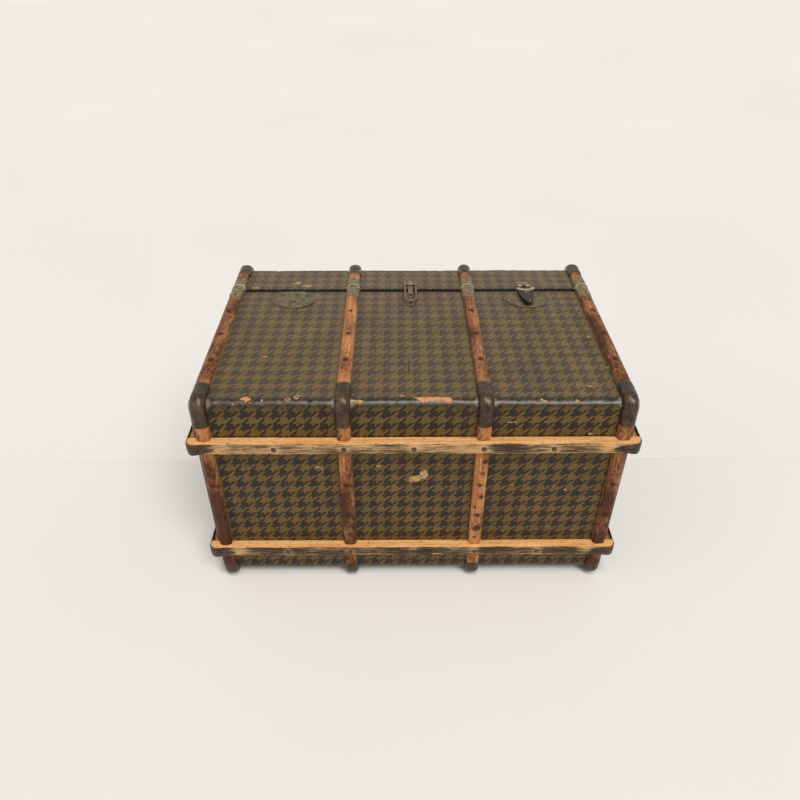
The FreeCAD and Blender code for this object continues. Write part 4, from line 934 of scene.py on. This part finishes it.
def scar(x, level, half_x, half_level, lift, seed):
    """A torn patch: rings of an uneven outline laid over the skin, a hair proud in the middle and sunk at the
    rim. The outline is an oval whose reach has seven sine waves of drawn height and phase."""
    turn, reach = np.meshgrid(np.linspace(0, 2 * np.pi, 33), (0, 0.35, 0.7, 0.9, 1, 1.02), indexing="ij")
    draw = np.random.default_rng(seed)
    ragged = 1 + sum(draw.uniform(-1, 1) * 0.34 / wave ** 0.6 * np.sin(wave * turn + draw.uniform(0, 6.3))
                     for wave in (2, 3, 4, 5, 7, 9, 11))
    place_x = x + half_x * reach * ragged * np.cos(turn)
    place = level + half_level * reach * ragged * np.sin(turn)
    y, z, out_y, out_z = over_edge(place)
    rim = np.select([reach > 1.01, reach > 0.95], [-1.5, 0.2], 1.0)
    height = lift * (1 + 0.6 * waves(place_x, place, 4 * MM, 4 * MM, seed)) * rim
    points = np.stack((place_x, y + out_y * height, z + out_z * height), axis=-1)
    return {"points": points[::-1], "uv": np.stack((place_x, place), axis=-1), "marks": {}}


# Operators

class TrunkOperator:
    """What the trunk's operators share."""
    bl_options = {"REGISTER", "UNDO"}


class TRUNK_OT_stage(TrunkOperator, bpy.types.Operator):
    """Set the pale floor, the soft light and the camera"""
    bl_idname = "trunk.stage"
    bl_label = "Stage"

    def execute(self, context):
        scene = context.scene
        scene.view_settings.view_transform = "Standard"
        # The floor is flat under the body and steps down behind the mouth, so that the lid has room to swing
        reach, drop, easing, before_hinge = 14.0, 200 * MM, 5 * MM, 48 * MM
        edge = HINGES["lid_hinge"][1] - before_hinge
        outline = np.concatenate(([(-reach, 0)], arc((edge - easing, -easing), easing, 90, 0, 7),
                                  arc((edge + 3 * easing, 3 * easing - drop), 3 * easing, 180, 270, 9),
                                  [(reach, -drop)]))
        sides = np.concatenate([np.insert(outline, 0, x, axis=1) for x in (-reach, reach)])
        first = np.arange(len(outline) - 1)
        strips = np.stack((first, first + len(outline), first + len(outline) + 1, first + 1), axis=-1)
        mesh = bpy.data.meshes.new("floor")
        mesh.from_pydata(sides.tolist(), [], strips.tolist())
        floor = bpy.data.objects.new("floor", mesh)
        scene.collection.objects.link(floor)
        paint, tree, shader = blank("matt_pale_floor", Roughness=0.9)
        cloud = add(tree, "TexNoise", {"Vector": add(tree, "TexCoord").outputs["Object"], "Scale": 0.8})
        dark, light = rgba(linear("#e4e0da")), rgba(linear("#ebe8e3"))
        mottled = add(tree, "Mix", {0: cloud, 6: dark, 7: light}, data_type="RGBA")
        connect(tree, shader, {"Base Color": mottled.outputs[2]})
        mesh.materials.append(paint)
        world = bpy.data.worlds.new("studio")
        scene.world = world
        world.use_nodes = True
        # The camera and the gloss see a pale backdrop, while the light that falls on the trunk stays plain
        tree = world.node_tree
        rays = add(tree, "LightPath").outputs
        seen = add(tree, "Math", {0: rays["Is Camera Ray"], 1: rays["Is Glossy Ray"]})
        seen = add(tree, "Math", {0: seen, 1: rays["Is Transmission Ray"]}, use_clamp=True)
        plain, pale = 0.46, 0.9
        glow = add(tree, "MapRange", {0: seen, 3: plain, 4: pale})
        connect(tree, tree.nodes["Background"], {"Color": rgba(linear("#f3f1ee")), "Strength": glow})
        # Each lamp: its turn, its power and the spread of its rays
        for name, turn, power, spread in (("key", (39, 0, 32), 1.5, 25), ("top", (18, 0, 4), 0.85, 14),
                                          ("fill", (60, 0, -60), 0.28, 60)):
            lamp = bpy.data.lights.new(name, "SUN")
            lamp.energy, lamp.angle = power, math.radians(spread)
            sun = bpy.data.objects.new(name, lamp)
            sun.rotation_euler = [math.radians(angle) for angle in turn]
            scene.collection.objects.link(sun)
        # The camera is fitted to the photographed view: its place, and how far it looks down and aside
        place, down, aside = (-30.6 * MM, -1233.65 * MM, 1188.1 * MM), 36.81, -0.32
        lens = bpy.data.cameras.new("camera")
        lens.lens, lens.sensor_width = 31.365, 36
        camera = bpy.data.objects.new("camera", lens)
        camera.location = place
        camera.rotation_euler = [math.radians(angle) for angle in (90 - down, 0, aside)]
        scene.collection.objects.link(camera)
        scene.camera = camera
        return {"FINISHED"}


class TRUNK_OT_canvas(TrunkOperator, bpy.types.Operator):
    """Cover body and lid with canvas and bind their rims with tape"""
    bl_idname = "trunk.canvas"
    bl_label = "Canvas"

    def execute(self, context):
        sizes = context.scene.trunk_sizes
        # The end panels reach under the turned canvas and lie a little lower
        tuck, lie = sizes.end_radius + 2 * MM, 0.4 * MM
        z = (BACK + tuck, FRONT - tuck)
        for body, rim, closed, seed in (("body", BODY_RIM, BOTTOM, 11), ("lid", LID_RIM, LID_TOP, 12)):
            way = 1 if rim > closed else -1
            y = sorted((rim, closed + way * tuck))
            sheets = [canvas_wrap(rim, closed, seed)]
            sheets += [end_panel(side, y, z, END - lie, seed + 3) for side in (1, -1)]
            surface(f"{body}_canvas_cloth", sheets, finish("canvas"), body, [f"{body}_canvas"],
                    thickness=1 * MM)
            surface(f"{body}_rim_tape", [rim_tape(rim, way)], finish("tape"), body)
        return {"FINISHED"}


class TRUNK_OT_inside(TrunkOperator, bpy.types.Operator):
    """Line the inside and finish the boards and the dust rim"""
    bl_idname = "trunk.inside"
    bl_label = "Inside"

    def execute(self, context):
        for body, closed_is_low, seed in (("body", True, 21), ("lid", False, 22)):
            sheets = lining_sheets(f"{body}_lining", closed_is_low, seed)
            surface(f"{body}_lining_cloth", sheets, finish("lining"), body, [f"{body}_lining"],
                    thickness=0.5 * MM)
        boards = [name for name in frame["nodes"] if name.endswith(("_board", "_boards"))]
        coat(finish("board"), *boards)
        # The dust rim takes the same dark tape, partly painted shade in the gap at the mouth
        coat(finish("tape"), "dust_rim")
        return {"FINISHED"}


class TRUNK_OT_slats(TrunkOperator, bpy.types.Operator):
    """Lay the slats round body and lid"""
    bl_idname = "trunk.slats"
    bl_label = "Slats"

    # Places of the nails, from the start of each slat
    front_nails = np.multiply((107, 198, 289), MM)
    bottom_nails = np.multiply((159, 239), MM)
    # How dark each slat has become at its start and at its end, from the left
    front_ages = ((1.1, 1.1), (0.4, 0.4), (1.0, 1.0), (1.15, 1.15))
    # The first bottom slat is darkest at its lower end, by the floor: old stain and partly painted shade
    bottom_ages = ((2.0, -0.6), (1.35, 0.2), (0.3, 0.3), (1.4, 0.6))
    plain_ages = ((0.8, 0.9), (1, 0.8), (0.7, 0.8), (1, 1.1))
    # Spots of dirt on the third bottom slat: distance from its start, place across it and reach (mm)
    third_spots = ((298, 6, 4), (270, 3, 3), (208, 5, 5), (120, 0, 7), (95, -2, 4), (180, -7, 3))
    bottom_spots = ((), (), np.multiply(third_spots, MM), ())

    def execute(self, context):
        radius = context.scene.trunk_sizes.edge_radius
        low, high = BACK + radius, FRONT - radius
        near, far = BOTTOM + radius, LID_TOP - radius
        size, end_size, wood = (SLAT_WIDTH, SLAT_RISE), (RUNNER_WIDTH, SLAT_RISE), finish("slat")
        ages, front, bottom = self.plain_ages, self.front_ages, self.bottom_ages
        groups = {}
        for n, x in enumerate(SLAT_PLACES):
            bar = slat((x, near, FRONT), (x, BODY_SLAT_END, FRONT), UP, *size, front[n], 30 + n,
                       self.front_nails)
            groups[f"front_slat_{n + 1}"] = [bar]
            bar = slat((x, BOTTOM, low), (x, BOTTOM, high), -REAR, *size, bottom[n], 40 + n,
                       self.bottom_nails, self.bottom_spots[n])
            groups[f"bottom_slat_{n + 1}"] = [bar]
        # Start and end as (y, z), way out, ages, first seed and nails
        rows = {
            "back_slats": ((near, BACK), (span("back_slats", 1)[1], BACK), -UP, ages, 50, self.front_nails),
            "lid_front_slats": ((LID_SLAT_END, FRONT), (far, FRONT), UP, front, 60, ()),
            "lid_top_slats": ((LID_TOP, low), (LID_TOP, high), REAR, ages, 70, ()),
            "lid_back_slats": ((span("lid_back_slats", 1)[0], BACK), (far, BACK), -UP, ages, 80, ()),
        }
        for name, (start, end, outward, darkness, seed, nails) in rows.items():
            groups[name] = [slat((x, *start), (x, *end), outward, *size, darkness[n], seed + n, nails)
                            for n, x in enumerate(SLAT_PLACES)]
        groups |= {"left_end_slats": [], "right_end_slats": [], "lid_end_slats": []}
        for n, z in enumerate(RUNNER_HEIGHTS):
            for way, name in ((-1, "left_end_slats"), (1, "right_end_slats")):
                x, outward, seed = way * END, way * RIGHT, 90 + 2 * n + way
                bar = slat((x, BOTTOM, z), (x, BODY_SLAT_END, z), outward, *end_size, ages[n], seed,
                           self.front_nails)
                groups[name].append(bar)
                bar = slat((x, LID_SLAT_END, z), (x, LID_TOP, z), outward, *end_size, ages[n + 1], seed + 9)
                groups["lid_end_slats"].append(bar)
        for name, bars in groups.items():
            body = "lid" if name.startswith("lid") else "body"
            surface(f"{name}_wood", bars, wood, body, [name])
        return {"FINISHED"}


class TRUNK_OT_runners(TrunkOperator, bpy.types.Operator):
    """Lay the worn runners across the bottom and the lid"""
    bl_idname = "trunk.runners"
    bl_label = "Runners"

    def execute(self, context):
        pitch = SLAT_PLACES[1] - SLAT_PLACES[0]
        nails = [share * pitch for share in (-1, -0.5, 0, 0.5, 1)]
        wood = finish("runner")
        bottom = (("front_runner", 101, 0.95), ("back_runner", 102, 1.12))
        for z, (name, seed, trodden) in zip(RUNNER_HEIGHTS, bottom):
            bar = runner(-1, BOTTOM, z, seed, nails, trodden)
            surface(f"{name}_wood", [bar], wood, "body", [name])
        # Dark rims of the nail holes, painted shade of a sunk hole together with rust, and rubbed heads:
        # place on the outer face, radius and rise
        face = BOTTOM - RUNNER_RISE
        hole_face, head_face = face + 0.15 * MM, face - 1.1 * MM
        hole, head = (5.4 * MM, 0.4 * MM), (2.2 * MM, 0.5 * MM)
        sinkings, heads = [], []
        for z in RUNNER_HEIGHTS:
            sinkings += domes([(x, hole_face, z) for x in nails], -REAR, *hole, sides=16)
            heads += domes([(x, head_face, z) for x in nails], -REAR, *head)
        surface("runner_nail_sinkings", sinkings, finish("dark_edge_and_hole_shade"), "body")
        surface("runner_nail_heads", heads, finish("rubbed_nail"), "body")
        bars = [runner(1, LID_TOP, z, seed, nails) for z, seed in zip(RUNNER_HEIGHTS, (103, 104))]
        surface("lid_runners_wood", bars, wood, "lid", ["lid_runners"])
        return {"FINISHED"}


class TRUNK_OT_iron(TrunkOperator, bpy.types.Operator):
    """Press the iron bumpers over the slat corners and bend the straps round the runner ends"""
    bl_idname = "trunk.iron"
    bl_label = "Iron"

    def execute(self, context):
        iron, nail = finish("iron"), finish("nail")
        width, inset, dent = SLAT_WIDTH + 2 * CAP_SKIN, 7 * MM, 0.5 * MM
        # Radius and rise of a nail's head and of a rivet, and where the rivets sit, from the runner's end
        head, rivet = (2.6 * MM, 1.1 * MM), (2.8 * MM, 1.2 * MM)
        rivet_places, rivet_lift = (20 * MM, 34 * MM), 0.4 * MM
        corners = (
            ("front_bumpers", "body", BOTTOM, FRONT, 110),
            ("back_bumpers", "body", BOTTOM, BACK, 120),
            ("lid_front_bumpers", "lid", LID_TOP, FRONT, 130),
            ("lid_back_bumpers", "lid", LID_TOP, BACK, 140),
        )
        for name, body, y, z, seed in corners:
            end_y = span(name, 1)[1 if y < 0 else 0]
            end_z = span(name, 2)[0 if z == FRONT else 1]
            way_y, way_z = np.sign(y), 1 if z == FRONT else -1
            caps, heads = [], []
            for n, x in enumerate(SLAT_PLACES):
                path, up = corner_path(x, y, z, end_y, end_z)
                caps.append(dented(path, up, cap_profile(width), dent, seed + n))
                if z == FRONT:
                    heads += domes([(x, end_y + way_y * inset, z + CAP_RISE - SUNK)], UP, *head)
                face = y + way_y * (CAP_RISE - SUNK)
                heads += domes([(x, face, end_z + way_z * inset)], way_y * REAR, *head)
            surface(f"{name}_iron", caps, iron, body, [name])
            surface(f"{name}_nails", heads, nail, body)
        for name, body, way_y in (("runner_caps", "body", -1), ("lid_runner_caps", "lid", 1)):
            straps, heads = [], []
            y = way_y * (abs(BOTTOM) + RUNNER_RISE + CAP_SKIN + rivet_lift)
            for n, z in enumerate(RUNNER_HEIGHTS):
                for way_x in (-1, 1):
                    straps.append(runner_strap(way_x, way_y, z, 150 + 4 * n + way_x))
                    centres = [(way_x * (RUNNER_END - place), y, z) for place in rivet_places]
                    heads += domes(centres, way_y * REAR, *rivet)
            surface(f"{name}_iron", straps, iron, body, [name])
            surface(f"{name}_rivets", heads, nail, body)
        return {"FINISHED"}


class TRUNK_OT_brass(TrunkOperator, bpy.types.Operator):
    """Cap the slat ends at the mouth with brass and finish the locks, hasp, loop, hinges and nails"""
    bl_idname = "trunk.brass"
    bl_label = "Brass"

    def execute(self, context):
        width, end_width, nail_inset = SLAT_WIDTH + 2 * CAP_SKIN, RUNNER_WIDTH + 2 * CAP_SKIN, 7 * MM
        # Which side of the ferrules' box is the start and which the seam, and how far the seam end bows out
        seams = (("body_ferrules", "body", 0, 1, 4 * MM), ("lid_ferrules", "lid", 1, 0, -5.5 * MM))
        for name, body, first, last, bow in seams:
            start, end = span(name, 1)[first], span(name, 1)[last]
            caps = [ferrule((x, start, FRONT), (x, end, FRONT), UP, width, bow, 170 + n)
                    for n, x in enumerate(SLAT_PLACES)]
            for z in RUNNER_HEIGHTS:
                for way in (-1, 1):
                    x, outward = way * END, way * RIGHT
                    caps.append(ferrule((x, start, z), (x, end, z), outward, end_width, bow, 180 + way))
            surface(f"{name}_brass", caps, finish("ferrule"), body, [name])
            if body == "lid":
                beads = [rolled_bead(cap, -REAR) for cap in caps]
                surface("lid_ferrule_beads", beads, finish("bead"), body)
            y = start + np.sign(end - start) * nail_inset
            centres = [(x, y, FRONT + CAP_RISE - SUNK) for x in SLAT_PLACES]
            heads = domes(centres, UP, radius=2.4 * MM, rise=1 * MM)
            surface(f"{name}_nails", heads, finish("nail"), body)
        coats = {
            "brass": ("left_lock_plate", "right_lock_plate", "loop_bracket", "loop_staple", "handle_keepers"),
            "bright_brass": ("hasp_bracket",),
            "black_hasp": ("hasp",),
            "iron": ("left_lock_case", "right_lock_case", "body_hinge_leaves", "lid_hinge_leaves"),
            "wire": ("loop_hasp",),
            "nail": ("hinge_pins", "body_nails", "lid_nails"),
        }
        for name, nodes in coats.items():
            coat(finish(name), *nodes)
        return {"FINISHED"}


class TRUNK_OT_locks(TrunkOperator, bpy.types.Operator):
    """Dress the lock plates, hasp and loop with beads, nails, a keyhole, a shield, studs and a tongue"""
    bl_idname = "trunk.locks"
    bl_label = "Locks"

    # Places on a plate, in mm from the middle of its oval; the hasp covers the middle of the right one
    plate_nails = ((-45, -1), (44, -1), (-30, -21), (24, -26), (27, 17), (-27, 19), (-4, -30))
    keyhole = (2, 19)
    covered_places = {"left_lock_plate": 0, "right_lock_plate": 18}

    def execute(self, context):
        nails, holes, beads, rings = [], [], [], []
        half_height = 38 * MM
        for node, covered in self.covered_places.items():
            low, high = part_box(node)
            middle = np.array(((low[0] + high[0]) / 2, low[1] + half_height, high[2]))
            beads.append(plate_bead(middle, high[0] - middle[0], half_height, high[1] - middle[1]))
            centres = [middle + (x * MM, y * MM, 0) for x, y in self.plate_nails if abs(x) >= covered]
            nails += domes(centres, UP, radius=2.2 * MM, rise=1 * MM)
            if not covered:
                hole = middle + np.append(np.multiply(self.keyhole, MM), 0)
                rings.append(ring(hole, radius=4 * MM, tube=1 * MM))
                # The keyhole is a flat dark iron disc inside its ring: painted shade in place of the hole
                holes += domes([hole], UP, radius=3.6 * MM, rise=0.25 * MM, sides=16)
        surface("lock_plate_beads", beads + rings, finish("brass"), "body")
        surface("lock_plate_nails_and_keyhole_shade", nails + holes, finish("nail"), "body")
        shield, lip, studs = hasp_dress()
        surface("hasp_shield", [shield], finish("black_hasp"), "hasp")
        surface("hasp_lip", [lip], finish("lip"), "hasp")
        surface("hasp_studs", studs, finish("bright_brass"), "hasp")
        # A stud on the loop's bracket, a nail on each side of it, and a tongue from there over the seam
        stud_inset, plate, nail_aside, nail_ahead = 7 * MM, 1.5 * MM, 11 * MM, 2 * MM
        tongue_start, tongue_end, step = 18.2 * MM, BODY_RIM - 14 * MM, 3 * MM
        low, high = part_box("loop_bracket")
        stud = np.array(((low[0] + high[0]) / 2, high[1] - stud_inset, FRONT + plate))
        beside = [stud + (side * nail_aside, nail_ahead, 0) for side in (-1, 1)]
        heads = domes([stud], UP, radius=4.6 * MM, rise=3.4 * MM, sides=18)
        heads += domes(beside, UP, radius=2 * MM, rise=0.9 * MM)
        surface("loop_bracket_studs", heads, finish("bright_brass"), "lid")
        over_seam = run(stud - (0, tongue_start, 0), (stud[0], tongue_end, stud[2]), step)
        section = bar_profile(width=11 * MM, rise=1.2 * MM, easing=0.5 * MM, crown=0.2 * MM)
        tongue = sweep(over_seam, UP, section)
        surface("loop_bracket_tongue", [tongue], finish("ferrule"), "lid")
        return {"FINISHED"}


class TRUNK_OT_scars(TrunkOperator, bpy.types.Operator):
    """Tear small patches of the canvas where it was knocked"""
    bl_idname = "trunk.scars"
    bl_label = "Scars"

    # Place along the length, distance over the front edge from the end of the front face, half width and half
    # height (mm)
    bare_wood = ((33, 3, 33, 5), (-297, 2, 8, 6), (74, -380, 2.6, 2), (60, 6, 8, 4))
    torn_cloth = ((-208, -3, 5.5, 5), (-223, 3, 5, 4.5), (-98, 9, 9, 4), (-21, -6, 4, 2.5),
                  (-283, -132, 6, 2), (-283, -158, 2, 3), (352, -201, 2.6, 3.5), (366, -92, 2.4, 3),
                  (318, -33, 5, 2.5), (287, 9, 4, 3), (229, 9, 4, 2.6), (5, 189, 12, 8), (20, 179, 8, 11),
                  (-4, 194, 5, 4), (-181, 159, 6, 1.8), (-172, 163, 2, 4), (-66, 157, 4, 2.6),
                  (319, 80, 4, 2.6), (189, 205, 3, 2.4), (293, 219, 3, 2), (175, 53, 10, 0.9))
    # Dark patches over the canvas where it is holed or split: dark torn edges, and painted shade in place of
    # the hollows
    dark_holes = ((-207, -3, 3, 2.6), (-223, 3.4, 2.6, 2.4), (-8, -95, 1, 33), (-186, 160, 1.5, 1),
                  (90, 60, 1, 9))
    lid_cloth = ((-255, -434, 8, 5), (-232, -421, 13, 3.4), (-345, -413, 8, 2.4), (-249, -440, 4, 3))

    def execute(self, context):
        groups = (("body_bare_wood", self.bare_wood, "bare_wood", "body", 0.3, 301),
                  ("body_torn_cloth", self.torn_cloth, "torn_cloth", "body", 0.35, 302),
                  ("body_dark_holes", self.dark_holes, "dark_edge_and_hole_shade", "body", 0.5, 303),
                  ("lid_torn_cloth", self.lid_cloth, "torn_cloth", "lid", 0.35, 304))
        for name, marks, cover, body, lift, seed in groups:
            patches = [scar(*np.multiply(mark, MM), lift * MM, seed + 10 * n) for n, mark in enumerate(marks)]
            surface(name, patches, finish(cover), body)
        return {"FINISHED"}


class TRUNK_OT_handles(TrunkOperator, bpy.types.Operator):
    """Sew the leather handles on the ends"""
    bl_idname = "trunk.handles"
    bl_label = "Handles"

    def execute(self, context):
        pitch = context.scene.trunk_sizes.stitch_pitch
        thick, foot, step = 7 * MM, 26 * MM, 3 * MM
        stitch_inset, stitch_sunk, thread_radius, half_stitch = 4.2 * MM, 0.75 * MM, 0.55 * MM, 0.36 * pitch
        thread = arc((0, 0), thread_radius, 0, 360, 7)
        for side, way in (("left", -1), ("right", 1)):
            low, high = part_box(f"{side}_handle")
            middle, half_run = (low[2] + high[2]) / 2, (high[2] - low[2]) / 2
            width, place = high[1] - low[1], (low[1] + high[1]) / 2
            rise = high[0] - low[0] - thick
            bow = half_run - foot
            # The bow is one wave of a cosine between flat feet
            z = run([-half_run], [half_run], step)[:, 0]
            out = rise / 2 * (1 + np.cos(np.pi * np.clip(z / bow, -1, 1)))
            path = np.stack((way * (END + out), 0 * z + place, middle + z), axis=-1)
            slope = np.gradient(out, z)
            up = np.stack((way + 0 * z, 0 * z, -slope), axis=-1) / np.sqrt(1 + slope ** 2)[:, None]
            strap = sweep(path, up, bar_profile(width, thick, easing=2.5 * MM, crown=0.7 * MM))
            surface(f"{side}_handle_strap", [strap], finish("leather"), "body", [f"{side}_handle"])
            stitches = []
            steps = np.linspace(-bow, bow, int(2 * bow / pitch))
            tops = rise / 2 * (1 + np.cos(np.pi * steps / bow)) + thick - stitch_sunk
            lean = -rise / 2 * np.pi / bow * np.sin(np.pi * steps / bow)
            for row in (-1, 1):
                y = place + row * (width / 2 - stitch_inset)
                for along, top, tilt in zip(steps, tops, lean):
                    ahead = np.array((way * tilt, 0, 1)) / math.hypot(tilt, 1)
                    centre = np.array((way * (END + top), y, middle + along))
                    reach = np.linspace(-half_stitch, half_stitch, 5)[:, None] * ahead
                    stitches.append(sweep(centre + reach, np.cross(REAR, ahead) * way, thread))
            surface(f"{side}_handle_stitches", stitches, finish("thread"), "body")
        return {"FINISHED"}


class TRUNK_PT_finish(bpy.types.Panel):
    """The trunk's pieces, and the sizes and colours they use"""
    bl_idname = "TRUNK_PT_finish"
    bl_label = "Travel Trunk"
    bl_space_type = "VIEW_3D"
    bl_region_type = "UI"
    bl_category = "Trunk"

    def draw(self, context):
        for operator in OPERATORS:
            self.layout.operator(operator.bl_idname)
        for group in (context.scene.trunk_sizes, context.scene.trunk_colours):
            for name in group.__annotations__:
                self.layout.prop(group, name)


OPERATORS = (TRUNK_OT_stage, TRUNK_OT_canvas, TRUNK_OT_inside, TRUNK_OT_slats, TRUNK_OT_runners,
             TRUNK_OT_iron, TRUNK_OT_brass, TRUNK_OT_locks, TRUNK_OT_handles, TRUNK_OT_scars)
CLASSES = (TrunkColours, TrunkSizes, *OPERATORS, TRUNK_PT_finish)


def register():
    """Register the classes and hang the colours and sizes on the scene."""
    for item in CLASSES:
        bpy.utils.register_class(item)
    bpy.types.Scene.trunk_colours = bpy.props.PointerProperty(type=TrunkColours)
    bpy.types.Scene.trunk_sizes = bpy.props.PointerProperty(type=TrunkSizes)


def unregister():
    """Take back what register did."""
    del bpy.types.Scene.trunk_sizes
    del bpy.types.Scene.trunk_colours
    for item in reversed(CLASSES):
        bpy.utils.unregister_class(item)


def main():
    """Dress the trunk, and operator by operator."""
    register()
    for operator in OPERATORS:
        group, name = operator.bl_idname.split(".")
        getattr(getattr(bpy.ops, group), name)()


if __name__ == "__main__":
    main()
